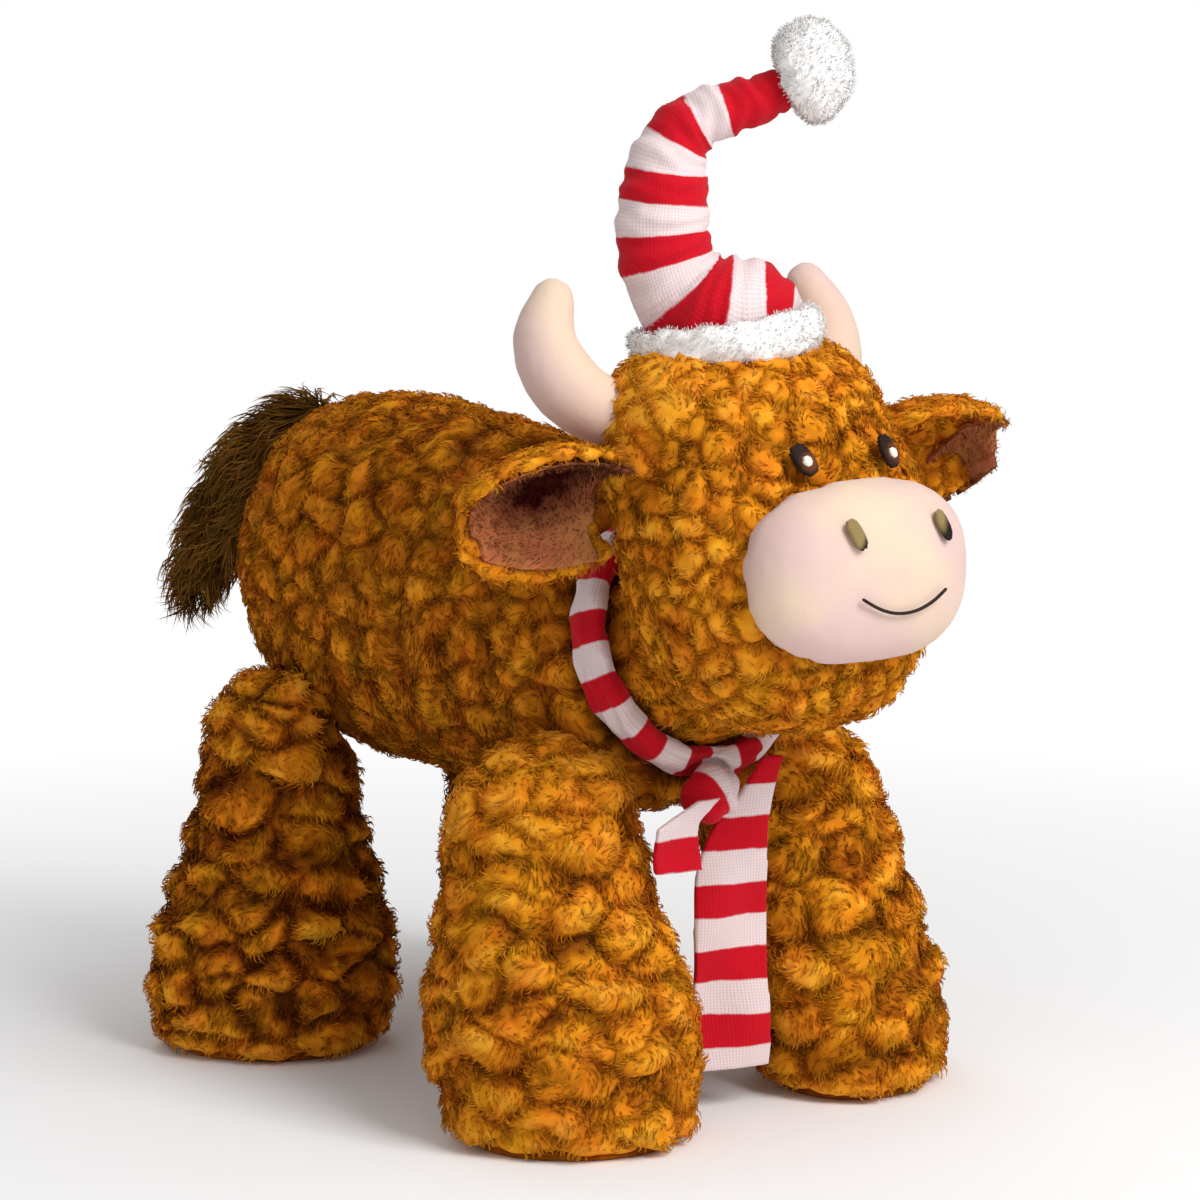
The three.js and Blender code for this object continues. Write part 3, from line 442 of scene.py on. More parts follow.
def scatter(piece, patch, rng, values=()):
    """Places and normals spread evenly over a mesh, one for each patch of it, and vertex values there."""
    mesh = piece.data
    mesh.calc_loop_triangles()
    corners = np.empty(3 * len(mesh.loop_triangles), np.int32)
    mesh.loop_triangles.foreach_get("vertices", corners)
    corners = corners.reshape(-1, 3)
    co, normals = points(piece), outward(piece)
    a, b, c = (co[corners[:, i]] for i in range(3))
    area = np.linalg.norm(np.cross(b - a, c - a), axis=1) / 2
    count = int(area.sum() / patch**2)
    chosen = corners[rng.choice(len(area), count, p=area / area.sum())]
    share = rng.dirichlet((1, 1, 1), count)
    there = (co[chosen] * share[:, :, None]).sum(axis=1)
    facing = unit((normals[chosen] * share[:, :, None]).sum(axis=1))
    return there, facing, *((value[chosen] * share).sum(axis=1) for value in values)


def hollows(piece, rounds):
    """How far each vertex lies under a smoothed copy of the surface."""
    copy = piece.copy()
    copy.data = piece.data.copy()
    bpy.context.scene.collection.objects.link(copy)
    apply(copy, "SMOOTH", factor=1.0, iterations=rounds)
    found = ((points(copy) - points(piece)) * outward(piece)).sum(axis=1)
    bpy.data.objects.remove(copy)
    return found


# A hair's sides, and how far apart the fibre patterns of two hairs lie
HAIR_SIDES = 3
HAIR_APART = 0.37


def tubes(middles, radii, normals, sides, pointed=False):
    """Closed tubes along many paths at once, as verts and faces. Paths are (tube, step, xyz).

    A pointed tube ends in one vertex instead of a ring.
    """
    count, steps, _ = middles.shape
    rings = steps - pointed
    tangent = unit(np.gradient(middles, axis=1))[:, :rings]
    across = unit(np.cross(tangent, normals[:, None, :]))
    over = np.cross(across, tangent)
    turn = np.arange(sides) * (2 * math.pi / sides)
    ring = np.cos(turn)[:, None] * across[:, :, None, :] + np.sin(turn)[:, None] * over[:, :, None, :]
    verts = middles[:, :rings, None, :] + ring * radii[:, :rings, None, None]
    verts = verts.reshape(count, -1, 3)
    faces = [(0, j + 1, j) for j in range(1, sides - 1)]
    for i in range(rings - 1):
        for j in range(sides):
            k = (j + 1) % sides
            here, there = i * sides, (i + 1) * sides
            faces.append((here + j, here + k, there + k))
            faces.append((here + j, there + k, there + j))
    last = (rings - 1) * sides
    if pointed:
        verts = np.concatenate([verts, middles[:, -1:]], axis=1)
        faces += [(last + j, last + (j + 1) % sides, last + sides) for j in range(sides)]
    else:
        faces += [(last, last + j, last + j + 1) for j in range(1, sides - 1)]
    starts = np.arange(count)[:, None, None] * verts.shape[1]
    return verts.reshape(-1, 3), (np.array(faces)[None] + starts).reshape(-1, 3)


def add_hairs(piece, middles, radii, normals, shade):
    """Joins many hairs to a piece, with their shade and a place along and round each for its fibres."""
    count, steps, _ = middles.shape
    hairs = mesh_piece(piece.name + "_hairs", *tubes(middles, radii, normals, HAIR_SIDES, pointed=True))
    per_hair = (steps - 1) * HAIR_SIDES + 1
    station = np.append(np.repeat(np.arange(steps - 1), HAIR_SIDES), steps - 1)
    turn = np.append(np.tile(np.arange(HAIR_SIDES), steps - 1), 0) * (2 * math.pi / HAIR_SIDES)
    fibre = np.empty((count, per_hair, 3))
    fibre[..., 0] = np.cos(turn) + np.arange(count)[:, None] * HAIR_APART
    fibre[..., 1] = np.sin(turn)
    fibre[..., 2] = station / (steps - 1)
    paint(hairs, "shade", shade[:, station].reshape(-1))
    paint(hairs, "fibre", fibre.reshape(-1, 3))
    smooth(hairs)
    only(piece, hairs)
    bpy.ops.object.join()


def swept(roots, normals, aims, size, rise, bend, radius, steps, tip_share):
    """Paths and radii of hairs that leave their roots along an aim, bend sideways and lie down again."""
    share = np.linspace(0, 1, steps)
    aside = np.cross(normals, aims)
    turned = bend[:, None] * share
    ahead = size[:, None] * np.sin(turned) / bend[:, None]
    sideways = size[:, None] * (1 - np.cos(turned)) / bend[:, None]
    arch = np.interp(share, [0, 0.35, 0.65, 1], [0, 0.85, 1, tip_share])
    height = rise[:, None] * arch - radius[:, None] * (share == 0)
    paths = (
        roots[:, None, :]
        + aims[:, None, :] * ahead[..., None]
        + aside[:, None, :] * sideways[..., None]
        + normals[:, None, :] * height[..., None]
    )
    return paths, radius[:, None] * np.interp(share, [0, 0.5, 1], [0.9, 1.0, 0.3])[None]


def flat_unit(vectors, normals):
    """The vectors laid in the surface and made 1 long."""
    return unit(vectors - normals * (vectors * normals).sum(axis=1, keepdims=True))


@dataclass
class Pile:
    """How one piece's pile is made."""

    clear: tuple = ()  # Frame nodes that no hair grows into
    stretch: tuple = (1, 1, 1)  # Measure along each axis, so that less makes the clumps longer that way
    size_share: float = 1.0  # Size of the clumps, as a share of the plan's
    run: tuple = (0, 0, -1)  # Which way the pile hangs
    run_share: float = 0.3  # How much of a hair's aim is the pile's run
    rise_share: float = 1.0  # Height of clumps and hairs, as a share of the plan's
    # The next three are painted light and shade: how brightly a whole piece is lit, and shade in its creases
    # and its wide hollows
    tone: float = 0.0  # How much lighter all of it is
    painted_crease_shade: float = 0.6  # How much the creases between clumps darken it
    painted_hollow_shade: float = 0.45  # How much the wide hollows darken it
    floor: float = None  # Height that nothing hangs below
    keep: object = None  # Tells from places and normals which roots have a hair

    # A clump's dome: its crest to this power, less the share that it is sunk by, and the tufts' size
    DOME_POWER = 0.75
    DOME_SUNK = 0.45
    TUFT_SIZE = 2.8 * MM
    # Rounds of smoothing that find creases and wide hollows for the painted shade, and how light the pile
    # and its cloth are painted, the cloth darker as painted shade under its hairs
    CREASE_ROUNDS = 20
    DEEP_ROUNDS = 150
    EVEN_LIGHT = 0.6
    CLOTH_LIGHT = 0.85
    WILD_SIZE = 5 * MM
    STEPS = 3

    def grow(self, piece, seed):
        plan = bpy.context.scene.plush_pile
        spacing = plan.clump * self.size_share
        clumps = Clumps(points(piece), spacing, plan.clump_drift, self.stretch, seed)
        self.raise_clumps(piece, plan, clumps, seed)
        # Painted shade: the pile is darkened in its creases and wide hollows, and its cloth more than its
        # hairs
        sunk = self.painted_crease_shade * hollows(piece, self.CREASE_ROUNDS)
        sunk = sunk + self.painted_hollow_shade * hollows(piece, self.DEEP_ROUNDS)
        painted_light = np.clip(self.EVEN_LIGHT + self.tone - sunk / plan.hollow_depth, 0, 1)
        shade_cloth(piece, self.CLOTH_LIGHT * painted_light, grain=300)

        rng = np.random.default_rng(seed)
        roots, normals, painted_light = scatter(piece, plan.hair_patch, rng, [painted_light])
        free = ~buried(roots + normals * MM, self.clear)
        if self.keep is not None:
            free &= self.keep(roots, normals)
        roots, normals, painted_light = roots[free], normals[free], painted_light[free]
        which, _ = clumps.look(roots)
        count = len(roots)
        away = flat_unit(roots - clumps.middles[which] + normals * 1e-6, normals)
        around = np.cross(normals, away) * clumps.spins[which][:, None]
        run = self.hanging(normals)
        wild = drift(roots, self.WILD_SIZE, seed + 1) + rng.normal(0, 0.3, (count, 3))
        mixed = (1 - self.run_share) * (0.6 * away + 0.7 * around) + self.run_share * run + 0.6 * wild
        aims = flat_unit(mixed, normals)
        size = plan.hair * rng.uniform(0.7, 1.25, count)
        rise = plan.hair_rise * self.rise_share * rng.uniform(0.5, 1.4, count)
        bend = rng.uniform(0.3, 1.6, count) * clumps.spins[which]
        radius = plan.hair_radius * rng.uniform(0.75, 1.3, count)
        paths, radii = swept(roots, normals, aims, size, rise, bend, radius, self.STEPS, tip_share=0.85)
        free = ~(buried(paths[:, 1], self.clear, MM) | buried(paths[:, 2], self.clear, MM))
        paths, radii, normals, painted_light = paths[free], radii[free], normals[free], painted_light[free]
        if self.floor is not None:
            paths[..., 2] = np.maximum(paths[..., 2], self.floor + radii)
        # Each hair is painted a little lighter toward its tip, as painted shade lies at its root
        share = np.linspace(0, 1, self.STEPS)[None, :]
        shade = self.CLOTH_LIGHT * painted_light[:, None] + 0.1 * share + rng.normal(0, 0.04, (len(paths), 1))
        add_hairs(piece, paths, radii, normals, np.clip(shade, 0, 1))

    def hanging(self, normals):
        """The pile's run, laid in the surface."""
        return flat_unit(np.broadcast_to(self.run, normals.shape) + 1e-4, normals)

    def raise_clumps(self, piece, plan, clumps, seed):
        """Swells each clump, hangs it over the crease below it, and roughens it with small tufts."""
        co, normals = points(piece), outward(piece)
        which, crest = clumps.look(co)
        dome = crest**self.DOME_POWER * clumps.heights[which] - self.DOME_SUNK
        fine = drift(co, self.TUFT_SIZE, seed + 7)[:, 0]
        lift = (dome * plan.clump_rise + fine * plan.tuft) * self.rise_share
        hang = (crest * clumps.heights[which] * plan.droop * self.rise_share)[:, None]
        raised = co + normals * lift[:, None] + self.hanging(normals) * hang
        if self.floor is not None:
            raised[:, 2] = np.maximum(raised[:, 2], self.floor)
        move(piece, raised)


# Materials


class Look:
    """A procedural material, and short ways to add and join its nodes."""

    def __init__(self, name, roughness, sheen=0.0, sheen_roughness=0.5, specular=0.3):
        self.material = bpy.data.materials.new(name)
        self.material.use_nodes = True
        self.tree = self.material.node_tree
        self.shader = self.tree.nodes["Principled BSDF"]
        self.shader.inputs["Roughness"].default_value = roughness
        self.shader.inputs["Sheen Weight"].default_value = sheen
        self.shader.inputs["Sheen Roughness"].default_value = sheen_roughness
        self.shader.inputs["Specular IOR Level"].default_value = specular

    def put(self, value, socket):
        if isinstance(value, bpy.types.NodeSocket):
            self.tree.links.new(value, socket)
        elif hasattr(value, "__len__") and len(value) == 3 and socket.type == "RGBA":
            socket.default_value = (*value, 1)
        else:
            socket.default_value = value

    def node(self, kind, inputs=(), **settings):
        made = self.tree.nodes.new(kind)
        for name, value in settings.items():
            setattr(made, name, value)
        for key, value in dict(inputs).items():
            self.put(value, made.inputs[key])
        return made

    def attribute(self, name, output="Fac"):
        return self.node("ShaderNodeAttribute", attribute_name=name).outputs[output]

    def object_place(self):
        return self.node("ShaderNodeTexCoord").outputs["Object"]

    def noise(self, vector, scale, detail=2.0, distortion=0.0):
        inputs = {"Vector": vector, "Scale": scale, "Detail": detail, "Distortion": distortion}
        return self.node("ShaderNodeTexNoise", inputs).outputs["Fac"]

    def math(self, operation, *values):
        made = self.node("ShaderNodeMath", operation=operation)
        for socket, value in zip(made.inputs, values):
            self.put(value, socket)
        return made.outputs[0]

    def spread(self, value, width):
        """A value round a half, as a difference from nothing of this width."""
        return self.math("MULTIPLY", self.math("SUBTRACT", value, 0.5), width)

    def ramp(self, fac, stops):
        made = self.node("ShaderNodeValToRGB", {"Fac": fac})
        elements = made.color_ramp.elements
        while len(elements) < len(stops):
            elements.new(0.5)
        for element, (place, shade) in zip(elements, stops):
            element.position = place
            element.color = (*shade, 1)
        return made.outputs["Color"]

    def remap(self, value, low, high):
        """The value from low to high, brought to nothing to one."""
        inputs = {"Value": value, "From Min": low, "From Max": high}
        return self.node("ShaderNodeMapRange", inputs).outputs["Result"]

    def mix(self, fac, first, second, blend="MIX"):
        made = self.node("ShaderNodeMix", data_type="RGBA", blend_type=blend)
        self.put(fac, made.inputs["Factor"])
        self.put(first, made.inputs["A"])
        self.put(second, made.inputs["B"])
        return made.outputs["Result"]

    def bump(self, height, strength, distance):
        inputs = {"Height": height, "Strength": strength, "Distance": distance}
        self.put(self.node("ShaderNodeBump", inputs).outputs["Normal"], self.shader.inputs["Normal"])

    def colour(self, value):
        self.put(value, self.shader.inputs["Base Color"])


def pile_look(name, stops, warm=0.05):
    """Shaggy pile: painted shade at the roots and painted light at the tips, from the shade attribute, with
    fibres along each curl.
    """
    look = Look(name, 0.9, specular=0.05)
    place = look.object_place()
    patches = look.spread(look.noise(place, 55, 3), 0.3)
    specks = look.spread(look.noise(place, 240, 2), 0.5)
    streak = look.noise(look.attribute("fibre", "Vector"), 7, 2)
    shade = look.math("ADD", look.math("ADD", look.attribute("shade"), patches), specks)
    shade = look.math("ADD", shade, look.spread(streak, 0.16))
    tone = look.ramp(shade, stops)
    hue = look.math("ADD", 0.5, look.spread(look.noise(place, 90, 2), warm))
    varied = {"Color": tone, "Hue": hue, "Saturation": 1.0, "Value": 1.0}
    look.colour(look.node("ShaderNodeHueSaturation", varied).outputs["Color"])
    look.bump(streak, 0.7, 0.4 * MM)
    return look.material


def velour_look(name, plan):
    """Short even velour with a few pinker patches."""
    look = Look(name, 0.8, sheen=0.08, sheen_roughness=0.4, specular=0.1)
    place = look.object_place()
    patch = look.remap(look.noise(place, 26, 2), 0.4, 0.62)
    look.colour(look.mix(patch, plan.velour, plan.blush))
    look.bump(look.noise(place, 1700, 3), 0.25, 0.25 * MM)
    return look.material


def knit_look(name, plan, stripe, offset):
    """Jersey: stripes along the cloth attribute, and columns of small stitches."""
    look = Look(name, 0.8, sheen=0.05, specular=0.1)
    cloth = {"Vector": look.attribute("cloth", "Vector")}
    across, along, _ = look.node("ShaderNodeSeparateXYZ", cloth).outputs
    rows = look.math("DIVIDE", look.math("ADD", along, offset), stripe)
    wobble = look.spread(look.noise(look.object_place(), 160, 2), 0.12)
    band = look.math("PINGPONG", look.math("ADD", rows, wobble), 1)
    tone = look.mix(look.remap(band, 0.47, 0.53), plan.red, plan.white)
    columns = look.math("PINGPONG", look.math("DIVIDE", across, plan.stitch), 0.5)
    slant = look.math("ADD", look.math("DIVIDE", along, plan.stitch), columns)
    loops = look.math("PINGPONG", slant, 0.5)
    height = look.math("MULTIPLY", look.math("ADD", columns, 0.25), look.math("ADD", loops, 0.3))
    # The stitches' relief is painted into the colour as shade between the loops
    shaded = look.mix(look.math("MULTIPLY", height, 1.6), (0.30, 0.26, 0.27), (1, 1, 1))
    look.colour(look.mix(0.45, tone, shaded, blend="MULTIPLY"))
    look.bump(height, 0.6, 0.35 * MM)
    return look.material


def thread_look(name, shade, lighter, other=None):
    """Satin thread, streaked with a lighter colour as painted sheen; where the tone attribute is one, the
    thread has the other shade.
    """
    look = Look(name, 0.5, specular=0.2)
    streak = look.noise(look.attribute("fibre", "Vector"), 9, 2)
    plain = look.mix(streak, shade, lighter)
    look.colour(look.mix(look.attribute("tone"), plain, other) if other is not None else plain)
    look.bump(streak, 0.4, 0.1 * MM)
    return look.material


# The pieces


class PLUSH_OT_trunk(bpy.types.Operator):
    """Fill the body and cover it in curls"""

    bl_idname = "plush.trunk"
    bl_label = "Body"

    def execute(self, context):
        piece = cushion("body")
        # Painted shade: tone darkens the body's pile, which is less lit than the head, and its creases are
        # painted darker
        pile = Pile(
            clear=("scarf_loop", "scarf_knot", "head", *LEGS), stretch=(0.75, 0.75, 1.0), run=(0, 0.4, -0.8),
            size_share=0.85, rise_share=0.5, painted_crease_shade=0.35, tone=-0.16,
        )
        pile.grow(piece, seed_for(0))
        finish_piece(piece, "trunk", ["body"], "curly_pile")
        return {"FINISHED"}


class PLUSH_OT_head(bpy.types.Operator):
    """Fill the head and cover it in curls round the face"""

    bl_idname = "plush.head"
    bl_label = "Head"

    def execute(self, context):
        piece = cushion("head")
        tuck(piece, ["body"], reach=6 * MM, depth=6 * MM)
        heap(piece, ["horn_" + hand for hand in HANDS], reach=18 * MM, height=6 * MM)
        heap(piece, ["hat_brim"], reach=26 * MM, height=5.5 * MM)
        clear = ["muzzle", "hat_brim", "hat_stocking", "scarf_loop", "body"]
        clear += [kind + hand for kind in ("eye_", "horn_", "ear_") for hand in HANDS]
        # Painted shade: tone darkens the head's pile a little, and its creases are painted darker
        pile = Pile(
            clear=clear, stretch=(0.85, 0.85, 1.0), size_share=0.72, run=(0, 0.3, -0.9), run_share=0.15,
            rise_share=0.55, painted_crease_shade=0.4, tone=-0.06,
        )
        pile.grow(piece, seed_for(1))
        finish_piece(piece, "head", ["head"], "curly_pile")
        return {"FINISHED"}


class PLUSH_OT_legs(bpy.types.Operator):
    """Fill the legs, cover them in clumps of pile, and close each with its sole"""

    bl_idname = "plush.legs"
    bl_label = "Legs and soles"

    # Each leg's pile: its height, how much painted shade darkens its creases, and its tone, which is painted
    # shade: darker on the far front leg and darkest on the rear legs, which are less lit
    PILES = {
        "leg_front_right": (0.65, 0.4, -0.05),
        "leg_front_left": (0.65, 0.4, -0.16),
        "leg_rear_right": (0.85, 0.6, -0.28),
        "leg_rear_left": (0.85, 0.6, -0.28),
    }
    # No pile hangs below the floor, and none grows where the cloth faces further down than this
    FLOOR = 0.3 * MM
    FACING_DOWN = -0.75
    # A front leg is stuffed fuller by this much, from one height to another
    FULL = 5.5 * MM
    FULL_LOW = 18 * MM
    FULL_HIGH = 125 * MM
    # The foot's rim ends at this height, and the cloth is pulled down this far above it
    RIM = 1.0 * MM
    RIM_REACH = 16 * MM
    SOLE_SHARE = 0.84

    def execute(self, context):
        for i, leg in enumerate(LEGS):
            piece = cushion(leg)
            tuck(piece, ["body"], reach=7 * MM, depth=7 * MM)
            if "front" in leg:
                self.fill_out(piece)
            self.settle(piece)
            rise, crease, tone = self.PILES[leg]
            pile = Pile(
                clear=["body", "scarf_loop"], stretch=(0.55, 0.55, 1.0), size_share=0.9, rise_share=rise,
                painted_crease_shade=crease, tone=tone, floor=self.FLOOR,
                keep=lambda roots, normals: normals[:, 2] > self.FACING_DOWN,
            )
            pile.grow(piece, seed_for(10 + i))
            finish_piece(piece, leg, [leg], "curly_pile")
            self.sole(leg)
        return {"FINISHED"}

    def fill_out(self, piece):
        """Swells the upper part of a front leg, which is stuffed more than a rear one."""
        co, normals = points(piece), outward(piece)
        share = np.clip((co[:, 2] - self.FULL_LOW) / (self.FULL_HIGH - self.FULL_LOW), 0, 1)
        swell = np.sin(math.pi * share**0.8) * self.FULL
        flat = normals * [1, 1, 0]
        move(piece, co + flat * swell[:, None])

    def settle(self, piece):
        """Pulls the foot's rim down until it hangs over the edge of its sole."""
        co = points(piece)
        drop = co[:, 2].min() - self.RIM
        share = np.clip(1 - (co[:, 2] - co[:, 2].min()) / self.RIM_REACH, 0, 1)
        co[:, 2] -= drop * share
        move(piece, co)

    def sole(self, leg):
        """The sewn oval under a foot, drawn in so that the pile hangs over its edge."""
        node = leg.replace("leg", "sole")
        piece = from_node(node, node + "_cloth")
        low, high = box_of(node)
        middle = (low + high) / 2
        co = points(piece)
        co[:, :2] = middle[:2] + (co[:, :2] - middle[:2]) * self.SOLE_SHARE
        move(piece, co)
        apply(piece, "BEVEL", width=0.5 * MM, segments=2)
        # The sole is painted dark, as painted shade under the foot
        shade_cloth(piece, 0.35, grain=900)
        finish_piece(piece, leg, [node], "sole_pile")


class PLUSH_OT_velour(bpy.types.Operator):
    """Make the muzzle and the horns of remeshed cloth and sew them to the head"""

    bl_idname = "plush.velour"
    bl_label = "Muzzle and horns"

    # Grain of each piece's remeshed cloth
    VOXELS = {"muzzle": 2.5 * MM, "horn_right": 1.8 * MM, "horn_left": 1.8 * MM}

    def execute(self, context):
        for node, voxel in self.VOXELS.items():
            piece = from_node(node, node + "_velour")
            stuffed(piece, voxel, inset=0.2 * MM)
            tuck(piece, ["head"], reach=3 * MM, depth=6 * MM)
            finish_piece(piece, "head", [node], "velour")
        return {"FINISHED"}


class PLUSH_OT_ears(bpy.types.Operator):
    """Cover the ears in curls outside and line them inside"""

    bl_idname = "plush.ears"
    bl_label = "Ears"

    # Each lining's size along x, y and z as shares of the frame's, and its thickness too
    LINING_SHARES = {"right": (0.72, 1.0, 0.48), "left": (0.28, 1.0, 0.7)}
    LINING_THICK_SHARE = 0.7
    # The place that it is drawn toward: this far up, and for the right ear this far off the head
    HEM = 6 * MM
    OFF_HEAD = 10 * MM
    # The ear has no pile this near its lining
    BARE = 1.0 * MM

    def execute(self, context):
        for i, hand in enumerate(HANDS):
            ear, node = "ear_" + hand, "ear_lining_" + hand
            seed = seed_for(20 + i)
            lining = self.lining(node, hand)
            inner = surface(lining.data)

            def off_lining(roots, normals):
                found = [inner.find_nearest(Vector(root))[3] for root in roots]
                return np.array(found) > self.BARE

            piece = from_node(ear, ear + "_pile")
            stuffed(piece, voxel=1.6 * MM, inset=0.5 * MM)
            tuck(piece, ["head"], reach=3 * MM, depth=5 * MM)
            # Painted light: the ears' pile is painted lighter, with no painted shade from wide hollows,
            # against the shade in their cups
            pile = Pile(
                clear=["head"], size_share=0.8, rise_share=0.45, tone=0.12, painted_hollow_shade=0, keep=off_lining
            )
            pile.grow(piece, seed)
            finish_piece(piece, ear, [ear], "curly_pile")
            # The lining's painted light and shade, with its hair tips painted a little lighter
            fleecy(lining, seed, 1.6 * MM, 1.0 * MM, ["head"], self.painted_light_and_shade(lining), lighter=0.1)
            finish_piece(lining, ear, [node], "ear_lining")
        return {"FINISHED"}

    def lining(self, node, hand):
        """The short plush in the cup, drawn in from the ear's edge."""
        piece = from_node(node, node + "_plush")
        stuffed(piece, voxel=0.8 * MM, inset=0)
        co = points(piece)
        low, high = co.min(axis=0), co.max(axis=0)
        aside = high[0] - (self.OFF_HEAD if hand == "right" else 0)
        hold = np.array([aside, (low[1] + high[1]) / 2, low[2] + self.HEM])
        tree = tree_of(node.replace("lining_", ""))
        for i, spot in enumerate(co):
            place, normal, _, _ = tree.find_nearest(Vector(spot))
            height = (Vector(spot) - place).dot(normal)
            drawn = hold + (spot - hold) * np.array(self.LINING_SHARES[hand])
            place, normal, _, _ = tree.find_nearest(Vector(drawn))
            co[i] = np.array(place + normal * height * self.LINING_THICK_SHARE)
        move(piece, co)
        return piece

    def painted_light_and_shade(self, piece):
        """How light a lining is painted: the left one with painted light upward, the right one with painted
        shade in its hollow.
        """
        co = points(piece)
        low, high = co.min(axis=0), co.max(axis=0)
        share = (co - low) / (high - low)
        if co[:, 0].mean() > 0:
            return 0.35 + 0.4 * share[:, 2]
        gap = np.hypot((share[:, 0] - 0.6) / 0.4, (share[:, 2] - 0.75) / 0.45)
        return np.clip(0.75 * gap - 0.1, 0, 0.75)


class PLUSH_OT_tail(bpy.types.Operator):
    """Hang the tail's long strands"""

    bl_idname = "plush.tail"
    bl_label = "Tail"

    # Which way the strands hang where the tail starts and where it ends, and how they fall into locks
    HANG_START = (-0.15, 0.75, -0.65)
    HANG_END = (-0.25, 0.3, -0.92)
    PATCH = 0.95 * MM
    LOCK = 6 * MM
    STEPS = 5

    def execute(self, context):
        rng = np.random.default_rng(seed_for(30))
        piece = from_node("tail", "tail_pile")
        stuffed(piece, voxel=2.5 * MM, inset=1.2 * MM)
        # The cloth under the strands is painted dark, as painted shade
        shade_cloth(piece, 0.1, grain=300)
        low, high = box_of("tail")
        roots, normals = scatter(piece, self.PATCH, rng)
        count = len(roots)
        share = ((high[2] - roots[:, 2]) / (high[2] - low[2]))[:, None]
        hang = np.array(self.HANG_START) * (1 - share) + np.array(self.HANG_END) * share
        locks = drift(roots, self.LOCK, 5)
        aims = flat_unit(hang + 0.45 * locks + rng.normal(0, 0.1, (count, 3)), normals)
        size = rng.uniform(9, 18, count) * MM
        rise = rng.uniform(1.5, 7.5, count) * MM * (1 + 0.4 * locks[:, 0])
        bend = rng.uniform(0.2, 1.3, count) * np.sign(locks[:, 1])
        radius = rng.uniform(0.16, 0.3, count) * MM
        paths, radii = swept(roots, normals, aims, size, rise, bend, radius, self.STEPS, tip_share=0.95)
        along = np.linspace(0, 1, self.STEPS)[None, :]
        # Painted shade at each strand's root, lighter toward its tip, and each lock's own lighter or darker
        # tone
        shade = 0.15 + 0.6 * along + 0.5 * locks[:, :1] + rng.normal(0, 0.06, (count, 1))
        add_hairs(piece, paths, radii, normals, np.clip(shade, 0, 1))
        finish_piece(piece, "tail", ["tail"], "long_pile", "tail_pile")
        return {"FINISHED"}


def strip_places(path, co):
    """How far along a path the nearest place to each point is, and the turn about the path there."""
    steps = np.linalg.norm(np.diff(path, axis=0), axis=1)
    lengths = np.concatenate([[0], np.cumsum(steps)])
    tangents = unit(np.gradient(path, axis=0))
    near = np.argmin(((co[:, None, :] - path[None]) ** 2).sum(axis=2), axis=1)
    offset = co - path[near]
    extra = (offset * tangents[near]).sum(axis=1)
    side = unit(np.cross(tangents, [0.3, 0.9, 0.1]))
    up = np.cross(side, tangents)
    turn = np.arctan2((offset * up[near]).sum(axis=1), (offset * side[near]).sum(axis=1))
    return lengths[near] + extra, turn


def curve_through(controls, count):
    """Evenly many points on a smooth curve through the controls."""
    controls = np.array(controls, float)
    ends = np.vstack([2 * controls[0] - controls[1], controls, 2 * controls[-1] - controls[-2]])
    found = []
    for i in range(len(controls) - 1):
        a, b, c, d = ends[i : i + 4]
        for t in np.linspace(0, 1, count, endpoint=i == len(controls) - 2):
            square, cube = 2 * a - 5 * b + 4 * c - d, 3 * b - a - 3 * c + d
            found.append(0.5 * (2 * b + (c - a) * t + square * t**2 + cube * t**3))
    return np.array(found)


